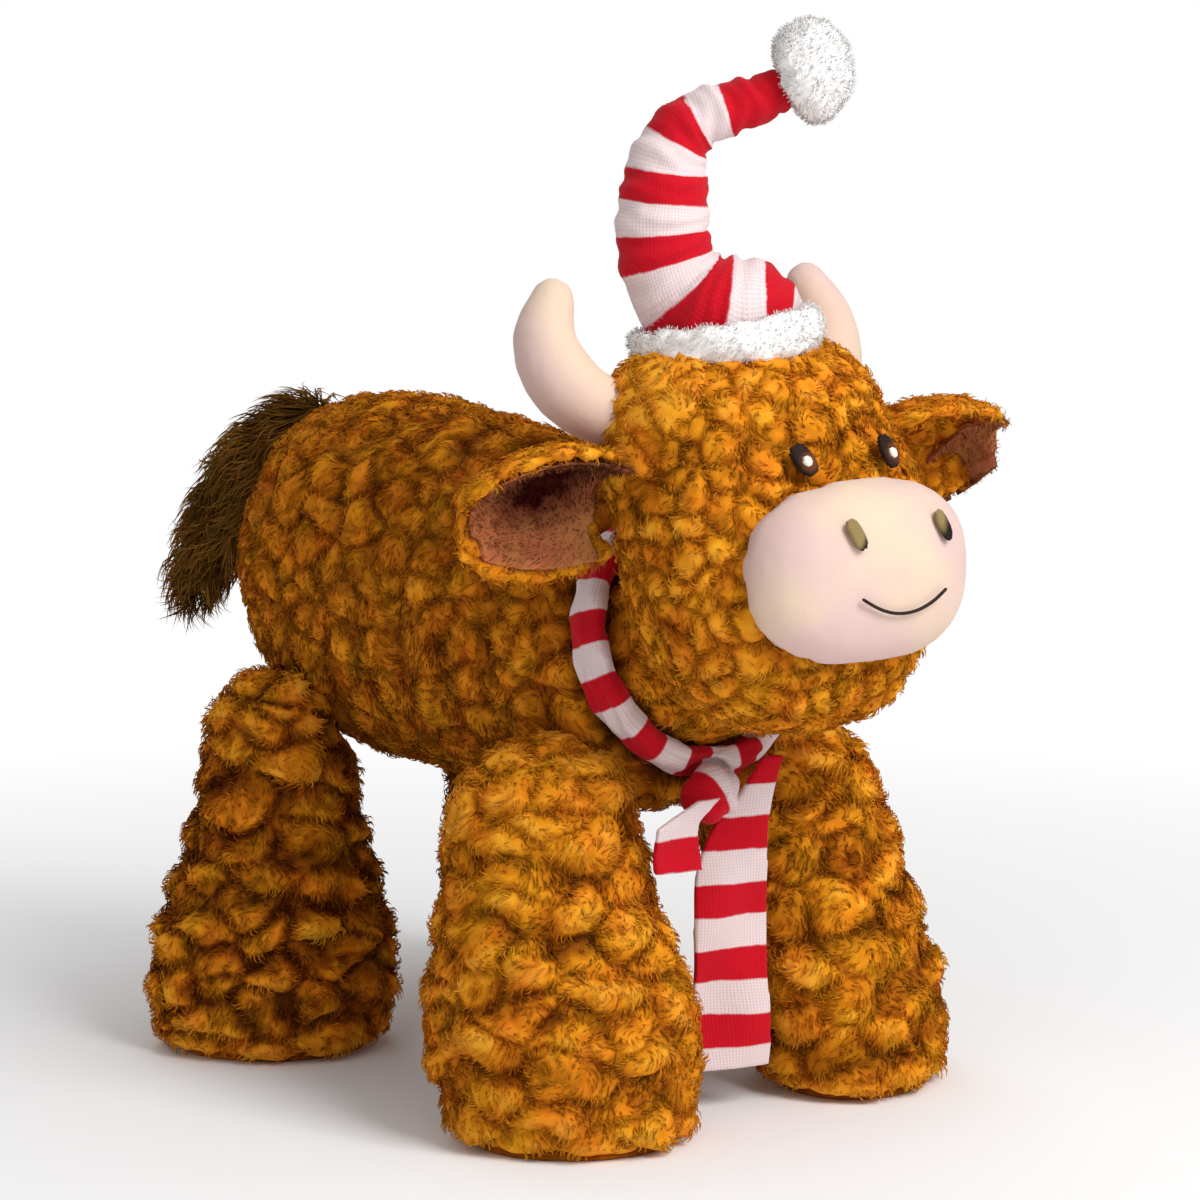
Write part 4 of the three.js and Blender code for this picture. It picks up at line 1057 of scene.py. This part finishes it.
class PLUSH_OT_hat(bpy.types.Operator):
    """Knit the stocking, roll the fleece brim and tie the pompom"""

    bl_idname = "plush.hat"
    bl_label = "Hat"

    # Half width and height of the stripes' path, how far aside its tip lies, and the tube's radius
    LEAN = 18.4 * MM
    TALL = 70 * MM
    TIP_SHARE = 0.71
    TUBE_RADIUS = 12 * MM
    # Places on that path from the brim's middle: first along the heap, then up the stocking
    PATH_SHARES = (
        (1.25, 0.1), (0.6, 0.12), (0.0, 0.12), (-0.6, 0.17), (-0.9, 0.29), (-1, 0.44), (-0.97, 0.57),
        (-0.91, 0.73), (-0.6, 0.87), (-0.08, 0.93), (0.46, 0.97), (0.71, 1.0), (1.1, 1.02),
    )
    # The heap's stripes and the last one are stretched: places along the path, and theirs on the cloth
    HEAP_PLACES = (0, 9 * MM, 16.5 * MM, 31 * MM, 40 * MM, 103.4 * MM, 120 * MM)
    HEAP_STRIPES = (7 * MM, 17.4 * MM, 26 * MM, 34.7 * MM, 41 * MM, 103.4 * MM, 106 * MM)
    # Each fleece piece: body, fill, how deep its cloth lies, height of its lumps, length of its hairs,
    # the square of cloth that one grows from, and the nodes that they clear
    FLEECES = {
        "hat_brim": ("head", 0.7, 0.9 * MM, 0.9 * MM, 1.1 * MM, 0.95 * MM, ("hat_stocking", "head")),
        "hat_pompom": ("pompom", 0.8, 1.0 * MM, 0.6 * MM, 1.2 * MM, 0.8 * MM, ("hat_stocking",)),
    }

    def execute(self, context):
        self.stocking()
        for i, node in enumerate(self.FLEECES):
            self.fleece(node, seed_for(40 + i))
        return {"FINISHED"}

    def path(self):
        """The line that the stripes follow, from the heap to the tip."""
        tip = np.array(joints["pompom_dangle"]["pos_m"])
        across = np.cross(UP, joints["pompom_dangle"]["axis"])
        middle = tip - across * self.TIP_SHARE * self.LEAN - UP * self.TALL
        controls = [
            middle + across * lean * self.LEAN + UP * rise * self.TALL for lean, rise in self.PATH_SHARES
        ]
        return curve_through(controls, 14)

    def stocking(self):
        """The knit tube, creased across, with its stripes along the path."""
        piece = from_node("hat_stocking", "hat_stocking_knit")
        stuffed(piece, voxel=1.6 * MM, inset=0.3 * MM)
        along, turn = strip_places(self.path(), points(piece))
        wide = np.sin(along / (1.5 * MM) + 1.5 * np.sin(turn + 0.7)) * (0.6 + 0.4 * np.cos(2 * turn + 1.0))
        narrow = np.sin(along / (0.8 * MM) + 2.4 * np.sin(2 * turn + along / (14 * MM)))
        push(piece, (0.75 * wide + 0.25 * narrow) * MM)
        lay_cloth(piece, turn * self.TUBE_RADIUS, np.interp(along, self.HEAP_PLACES, self.HEAP_STRIPES))
        finish_piece(piece, "head", ["hat_stocking"], "striped_knit", "striped_knit_hat")

    def fleece(self, node, seed):
        """One lumpy roll or ball of fleece."""
        body, fill, inset, lump, hair, patch, clear = self.FLEECES[node]
        piece = from_node(node, node + "_fleece")
        stuffed(piece, voxel=1.8 * MM, inset=inset)
        puff(piece, height=lump, size=4 * MM, seed=seed)
        puff(piece, height=0.4 * MM, size=1.6 * MM, seed=seed + 1)
        fleecy(piece, seed, hair, patch, clear)
        finish_piece(piece, body, [node], "white_fleece")


def puff(piece, height, size, seed):
    """Swells and sinks a surface in soft small lumps."""
    push(piece, drift(points(piece), size, seed)[:, 0] * height)


FLEECE_STEPS = 3
FLEECE_DRIFT = 5 * MM


def fleecy(piece, seed, size, patch, clear, shade=0.6, lighter=0.3):
    """Covers a piece in short soft hairs that stand off it and lean a little every way."""
    rng = np.random.default_rng(seed)
    shade = np.broadcast_to(shade, len(piece.data.vertices))
    shade_cloth(piece, shade, grain=400)
    roots, normals, tone = scatter(piece, patch, rng, [shade])
    free = ~buried(roots + normals * MM, clear)
    roots, normals, tone = roots[free], normals[free], tone[free]
    count = len(roots)
    aims = flat_unit(drift(roots, FLEECE_DRIFT, 3) + rng.normal(0, 0.4, (count, 3)), normals)
    sizes = size * rng.uniform(0.25, 0.6, count)
    rise = size * rng.uniform(0.5, 1.0, count)
    bend = rng.uniform(0.3, 1.2, count) * rng.choice([-1, 1], count)
    radius = rng.uniform(0.08, 0.14, count) * MM
    paths, radii = swept(roots, normals, aims, sizes, rise, bend, radius, FLEECE_STEPS, tip_share=1.25)
    share = np.linspace(0, 1, FLEECE_STEPS)[None, :]
    # Each hair is painted lighter toward its tip, its root in painted shade
    tones = tone[:, None] + lighter * share + rng.normal(0, 0.03, (count, 1))
    add_hairs(piece, paths, radii, normals, np.clip(tones, 0, 1))


class PLUSH_OT_scarf(bpy.types.Operator):
    """Wrap the scarf, knot it and hang its ends"""

    bl_idname = "plush.scarf"
    bl_label = "Scarf"

    # The long end's top is gathered by this share of its width, and drawn up and forward over the loop
    GATHER = 17 * MM
    GATHER_SHARE = 0.55
    DRAWN_UP = 9 * MM
    OVER_LOOP = 8 * MM
    # How far above and below its hinge the long end bends
    BEND_ABOVE = 7 * MM
    BEND_BELOW = 5 * MM
    # How far the loop is drawn in round the neck
    DRAWN_IN = 2 * MM
    WIDTHS = {"long": 24 * MM, "short": 16 * MM}

    def execute(self, context):
        self.loop()
        self.knot()
        for end in self.WIDTHS:
            self.hanging(end)
        return {"FINISHED"}

    def loop(self):
        """The tight roll round the neck, creased along it and gathered across."""
        piece = from_node("scarf_loop", "scarf_loop_knit")
        stuffed(piece, voxel=1.4 * MM, inset=0.2 * MM)
        co = points(piece)
        offset = co - co.mean(axis=0)
        _, axes = np.linalg.eigh(np.cov(offset.T))
        lay = axes[:, 0] * np.sign(axes[1, 0] + 1e-9)
        right = unit(np.cross(lay, UP))
        over = np.cross(right, lay)
        level, beside, above = offset @ lay, offset @ right, offset @ over
        turn = np.arctan2(beside, -above)
        reach = np.hypot(above, beside)
        creases = np.sin(level / (0.9 * MM) + 2.2 * np.sin(3 * turn)) * (0.6 + 0.4 * np.cos(turn * 5))
        gathers = np.sin(turn * 17 + level / (2 * MM))
        around = (np.outer(above, over) + np.outer(beside, right)) / reach[:, None]
        folds = (0.7 * creases + 0.3 * gathers) * MM
        move(piece, co + outward(piece) * folds[:, None] - around * self.DRAWN_IN)
        lay_cloth(piece, level, turn * np.median(reach))
        finish_piece(piece, "trunk", ["scarf_loop"], "striped_knit", "striped_knit_loop")

    def knot(self):
        """The knot under the chin, with creases that run slanting round it."""
        piece = from_node("scarf_knot", "scarf_knot_knit")
        stuffed(piece, voxel=1.2 * MM, inset=0.2 * MM)
        co = points(piece)
        aside, _, above = (co - co.mean(axis=0)).T
        wrap = aside * 0.75 + above * 0.45
        push(piece, np.sin(wrap / (1.25 * MM) + np.cos(2 * np.arctan2(above, aside))) * 0.7 * MM)
        lay_cloth(piece, above, wrap)
        finish_piece(piece, "trunk", ["scarf_knot"], "striped_knit", "striped_knit_knot")

    def hanging(self, end):
        """One flat end under the knot, a little wavy."""
        node = f"scarf_{end}_end"
        piece = from_node(node, node + "_knit")
        stuffed(piece, voxel=0.9 * MM, inset=0.15 * MM)
        co = points(piece)
        low, high = box_of(node)
        along = high[2] - co[:, 2]
        if end == "long":
            self.draw_up(co, along, high[0])
        lay_cloth(piece, co[:, 0], high[2] - co[:, 2])
        loose = np.clip(along / (20 * MM), 0, 1)
        across = co[:, 0] - (low[0] + high[0]) / 2
        co[:, 1] += loose * 0.9 * MM * np.sin(along / (7 * MM) + across / (6 * MM))
        co[:, 1] -= loose * 0.8 * MM * np.sin(across / (3.4 * MM)) * np.cos(along / (11 * MM))
        co[:, 0] += loose * across * 0.05 * np.sin(along / (5.5 * MM))
        move(piece, co)
        body = None if end == "long" else node
        finish_piece(piece, body, [node], "striped_knit", f"striped_knit_{end}_end")
        if end == "long":
            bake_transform(piece)

    def draw_up(self, co, along, right):
        """Gathers the long end's top and draws it up over the loop, to under the chin."""
        share = np.clip(1 - along / self.GATHER, 0, 1) ** 2
        co[:, 2] += share * self.DRAWN_UP
        co[:, 0] = right - (right - co[:, 0]) * (1 - self.GATHER_SHARE * share)
        co[:, 1] -= share * self.OVER_LOOP


# How a ray looks for the cloth: from how far in front, how far, and how squarely it has to be met
RAY_START = 6 * MM
RAY_REACH = 12 * MM
FACING = 0.25
SAMPLES = 61
# A thread's steps and sides, its radius as a share of the spacing, and how its ends are thinned and sunk
STEPS = 9
THREAD_SIDES = 6
THREAD_SHARE = 0.62
END_SHARE = 0.6
SUNK = 0.7 * MM


def laid_threads(tree, middle, facing, row, step, half, spacing, lift):
    """Parallel lines on a surface, found by rays from in front of it."""
    lines = []
    for offset in np.arange(-half, half, spacing):
        hits = []
        for s in np.linspace(-half, half, SAMPLES):
            start = middle + step * offset + row * s + facing * RAY_START
            place, normal, _, _ = tree.ray_cast(Vector(start), Vector(-facing), RAY_REACH)
            if place is not None and normal.dot(Vector(facing)) > FACING:
                hits.append(np.array(place) + np.array(normal) * lift)
        if len(hits) < 4:
            continue
        hits = np.array(hits)
        picks = np.linspace(0, len(hits) - 1, STEPS)
        line = np.stack([np.interp(picks, np.arange(len(hits)), hits[:, k]) for k in range(3)], axis=1)
        line[[0, -1]] -= facing * SUNK
        lines.append(line)
    return np.array(lines)


def sew(name, node, slot, spacing, slant, lift, share=1.0, drop=0.0, roll=0.0, tone=None):
    """Satin stitch: parallel threads laid across a frame node's front, each following its surface.

    The patch is then drawn to a share of its size, rolled about its middle and moved down.
    """
    tree = tree_of(node)
    low, high = box_of(node)
    middle = (low + high) / 2
    _, facing, _, _ = tree.find_nearest(Vector((middle[0], low[1] - 5 * MM, middle[2])))
    facing = np.array(facing)
    across = unit(np.cross(UP, facing))
    up = np.cross(facing, across)
    row = math.cos(slant) * across + math.sin(slant) * up
    step = math.cos(slant) * up - math.sin(slant) * across
    half = np.linalg.norm(high - low) / 2
    paths = laid_threads(tree, middle, facing, row, step, half, spacing, lift)
    heart = paths.reshape(-1, 3).mean(axis=0)
    apart = (paths - heart) * share
    sideways, upwards = (apart @ across)[..., None], (apart @ up)[..., None]
    turned = across * (sideways * math.cos(roll) - upwards * math.sin(roll))
    turned += up * (sideways * math.sin(roll) + upwards * math.cos(roll))
    paths = heart + turned + facing * (apart @ facing)[..., None] - up * drop
    radii = np.full(paths.shape[:2], spacing * THREAD_SHARE)
    radii[:, [0, -1]] *= END_SHARE
    count = len(paths)
    piece = mesh_piece(name, *tubes(paths, radii, np.broadcast_to(facing, (count, 3)), THREAD_SIDES))
    turn = np.arange(THREAD_SIDES)
    fibre = np.zeros((count, STEPS, THREAD_SIDES, 3))
    fibre[..., 0] = np.cos(turn) + np.arange(count)[:, None, None] * 3.1
    fibre[..., 1] = np.sin(turn)
    fibre[..., 2] = np.linspace(0, 0.6, STEPS)[None, :, None]
    paint(piece, "fibre", fibre.reshape(-1, 3))
    if tone is not None:
        apart = (paths - heart) / half
        paint(piece, "tone", np.repeat(tone(apart @ across, apart @ up).reshape(-1), THREAD_SIDES))
    finish_piece(piece, "head", [node], slot)


class PLUSH_OT_embroidery(bpy.types.Operator):
    """Sew the eyes, nostrils and smile"""

    bl_idname = "plush.embroidery"
    bl_label = "Embroidery"

    LIFT = -0.25 * MM
    NOSTRIL_LIFT = -0.75 * MM
    SMILE_INSET = 0.2 * MM
    EYE_ROLLS = {"right": 0.22, "left": -0.12}

    def patch(self, node, slot, slant, lift=LIFT, **options):
        spacing = bpy.context.scene.plush_face.thread
        sew(node + "_stitches", node, slot, spacing, slant, lift, **options)

    def iris(self, across, up):
        """Brown threads in the middle of the eye, low and to one side."""
        return np.clip(2.2 - 5 * np.hypot(across - 0.12, up + 0.12), 0, 1)

    def rim(self, across, up):
        """A dark edge low on one side of the nostril."""
        return np.clip(5 * (0.8 * across - 0.5 * up - 0.22), 0, 1)

    def far_rim(self, across, up):
        """The same edge, broader."""
        return np.clip(3 * (0.8 * across - 0.5 * up + 0.2), 0, 1)

    def execute(self, context):
        for hand in HANDS:
            roll = self.EYE_ROLLS[hand]
            self.patch("eye_" + hand, "dark_thread", 0.25, share=0.9, roll=roll, tone=self.iris)
            self.patch("eye_glint_" + hand, "pale_thread", 0.25, share=0.95, drop=1.0 * MM)
            rim = self.rim if hand == "right" else self.far_rim
            self.patch("nostril_" + hand, "olive_thread", 0.35, self.NOSTRIL_LIFT, share=0.88, tone=rim)
        smile = from_node("smile_stitch", "smile_stitch_thread")
        apply(smile, "SUBSURF", levels=1, render_levels=1)
        push(smile, -self.SMILE_INSET)
        paint(smile, "fibre", points(smile) * 2500)
        finish_piece(smile, "head", ["smile_stitch"], "dark_thread")
        return {"FINISHED"}


def way_out(turn, tilt):
    """From the toy at these angles in degrees, round from straight ahead and up."""
    a, e = math.radians(turn), math.radians(tilt)
    return Vector((math.sin(a) * math.cos(e), -math.cos(a) * math.cos(e), math.sin(e)))


def mix_shaders(tree, share, first, second, output):
    """Leads a mix of two shaders to an output."""
    blend = tree.nodes.new("ShaderNodeMixShader")
    for given, socket in zip((share, first.outputs[0], second.outputs[0]), blend.inputs):
        tree.links.new(given, socket)
    tree.links.new(blend.outputs[0], tree.nodes[output].inputs["Surface"])


class PLUSH_OT_stage(bpy.types.Operator):
    """Set the camera, floor, lamps and world"""

    bl_idname = "plush.stage"
    bl_label = "Stage"

    SENSOR = 36.0
    FLOOR_RADIUS = 6
    FLOOR_WHITE = (0.93, 0.93, 0.93)
    # From the first distance to the second the floor fades to white, for the camera only
    FADE = (0.12, 0.55)
    # How strongly the white world lights the toy
    DAYLIGHT = 0.42
    # Each lamp: name, way round and height in degrees, distance, size, strength
    LAMPS = (
        ("key", 4, 38, 1.2, 0.6, 11.8),
        ("fill", -70, 25, 1.4, 1.0, 1.6),
        ("rim", 165, 50, 1.4, 0.8, 2.6),
    )

    def execute(self, context):
        plan = context.scene.plush_stage
        self.camera(context.scene, plan)
        self.floor()
        for lamp in self.LAMPS:
            self.lamp(plan, *lamp)
        self.world(context.scene)
        context.scene.view_settings.view_transform = "Standard"
        return {"FINISHED"}

    def aim(self, plan, back, distance):
        """Puts the object that was just added at this distance, turned to the middle of the view."""
        made = bpy.context.object
        made.location = Vector(plan.view_middle) + back * distance
        made.rotation_euler = (-back).to_track_quat("-Z", "Y").to_euler()
        return made

    def camera(self, scene, plan):
        bpy.ops.object.camera_add()
        camera = self.aim(plan, way_out(plan.azimuth, plan.elevation), plan.distance)
        camera.data.sensor_width = self.SENSOR
        camera.data.lens = self.SENSOR * plan.distance / plan.view_width
        camera.data.clip_end = 10 * plan.distance
        scene.camera = camera

    def floor(self):
        bpy.ops.mesh.primitive_circle_add(vertices=96, radius=self.FLOOR_RADIUS, fill_type="NGON")
        floor = bpy.context.object
        floor.name = "floor"
        look = Look("pale_floor", 0.9, specular=0.1)
        look.colour(self.FLOOR_WHITE)
        place = look.object_place()
        away = look.node("ShaderNodeVectorMath", {0: place}, operation="LENGTH").outputs["Value"]
        seen = look.node("ShaderNodeLightPath").outputs["Is Camera Ray"]
        share = look.math("MULTIPLY", look.remap(away, *self.FADE), seen)
        white = look.node("ShaderNodeEmission", {"Color": (1, 1, 1), "Strength": 1.0})
        mix_shaders(look.tree, share, look.shader, white, "Material Output")
        floor.data.materials.append(look.material)

    def lamp(self, plan, name, turn, tilt, distance, size, strength):
        bpy.ops.object.light_add(type="AREA")
        lamp = self.aim(plan, way_out(turn, tilt), distance)
        lamp.name = name
        lamp.data.size = size
        lamp.data.energy = strength

    def world(self, scene):
        """White all round, which lights the toy less than the camera sees."""
        scene.world = bpy.data.worlds.new("studio")
        scene.world.use_nodes = True
        tree = scene.world.node_tree
        light = tree.nodes["Background"]
        seen = tree.nodes.new("ShaderNodeBackground")
        for shader, strength in ((light, self.DAYLIGHT), (seen, 1.0)):
            shader.inputs["Color"].default_value = (1, 1, 1, 1)
            shader.inputs["Strength"].default_value = strength
        path = tree.nodes.new("ShaderNodeLightPath")
        mix_shaders(tree, path.outputs["Is Camera Ray"], light, seen, "World Output")


made_looks = {}


def shared_look(name):
    """The material of that name, made the first time it is asked for."""
    if name not in made_looks:
        scene = bpy.context.scene
        pile, face, knit = scene.plush_pile, scene.plush_face, scene.plush_knit
        curls = ((0.0, pile.root), (0.36, pile.shade), (0.72, pile.crest), (1.0, pile.tip))
        make, *given = {
            "curly_pile": (pile_look, curls),
            "sole_pile": (pile_look, curls),
            "tail_pile": (pile_look, ((0.0, face.tail_root), (1.0, face.tail_tip))),
            "ear_lining": (pile_look, ((0.15, face.hollow), (0.8, face.lining))),
            "white_fleece": (pile_look, ((0.3, knit.fleece_shade), (0.8, knit.fleece)), 0.0),
            "velour": (velour_look, face),
            "striped_knit_hat": (knit_look, knit, knit.hat_stripe, 0.0),
            "striped_knit_loop": (knit_look, knit, knit.stripe, 9.8 * MM),
            "striped_knit_knot": (knit_look, knit, knit.stripe, 5 * MM),
            "striped_knit_long_end": (knit_look, knit, knit.stripe, 24.4 * MM),
            "striped_knit_short_end": (knit_look, knit, knit.stripe, 4 * MM),
            # Each thread's colour, the lighter colour of its painted sheen streaks, and its other colour
            # where the tone attribute is one
            "dark_thread": (thread_look, face.dark_thread, (0.03, 0.011, 0.007), face.brown_thread),
            "pale_thread": (thread_look, face.glint, (0.95, 0.9, 0.82)),
            "olive_thread": (thread_look, face.olive_thread, (0.34, 0.24, 0.10), face.dark_thread),
        }[name]
        made_looks[name] = make(name, *given)
    return made_looks[name]


OPERATORS = (
    PLUSH_OT_stage,
    PLUSH_OT_trunk,
    PLUSH_OT_head,
    PLUSH_OT_legs,
    PLUSH_OT_velour,
    PLUSH_OT_ears,
    PLUSH_OT_tail,
    PLUSH_OT_hat,
    PLUSH_OT_scarf,
    PLUSH_OT_embroidery,
)
GROUPS = {"plush_pile": PilePlan, "plush_face": FacePlan, "plush_knit": KnitPlan, "plush_stage": StagePlan}


class PLUSH_PT_panel(bpy.types.Panel):
    """Lists the steps of the toy"""

    bl_idname = "PLUSH_PT_panel"
    bl_label = "Plush Cow"
    bl_space_type = "VIEW_3D"
    bl_region_type = "UI"
    bl_category = "Plush Cow"

    def draw(self, context):
        for operator in OPERATORS:
            self.layout.operator(operator.bl_idname)


def register():
    for cls in (*GROUPS.values(), *OPERATORS, PLUSH_PT_panel):
        bpy.utils.register_class(cls)
    for name, group in GROUPS.items():
        setattr(bpy.types.Scene, name, PointerProperty(type=group))


def unregister():
    for name in GROUPS:
        delattr(bpy.types.Scene, name)
    for cls in (PLUSH_PT_panel, *reversed(OPERATORS), *reversed(list(GROUPS.values()))):
        bpy.utils.unregister_class(cls)


def main():
    register()
    for operator in OPERATORS:
        group, name = operator.bl_idname.split(".")
        getattr(getattr(bpy.ops, group), name)()


if __name__ == "__main__":
    main()
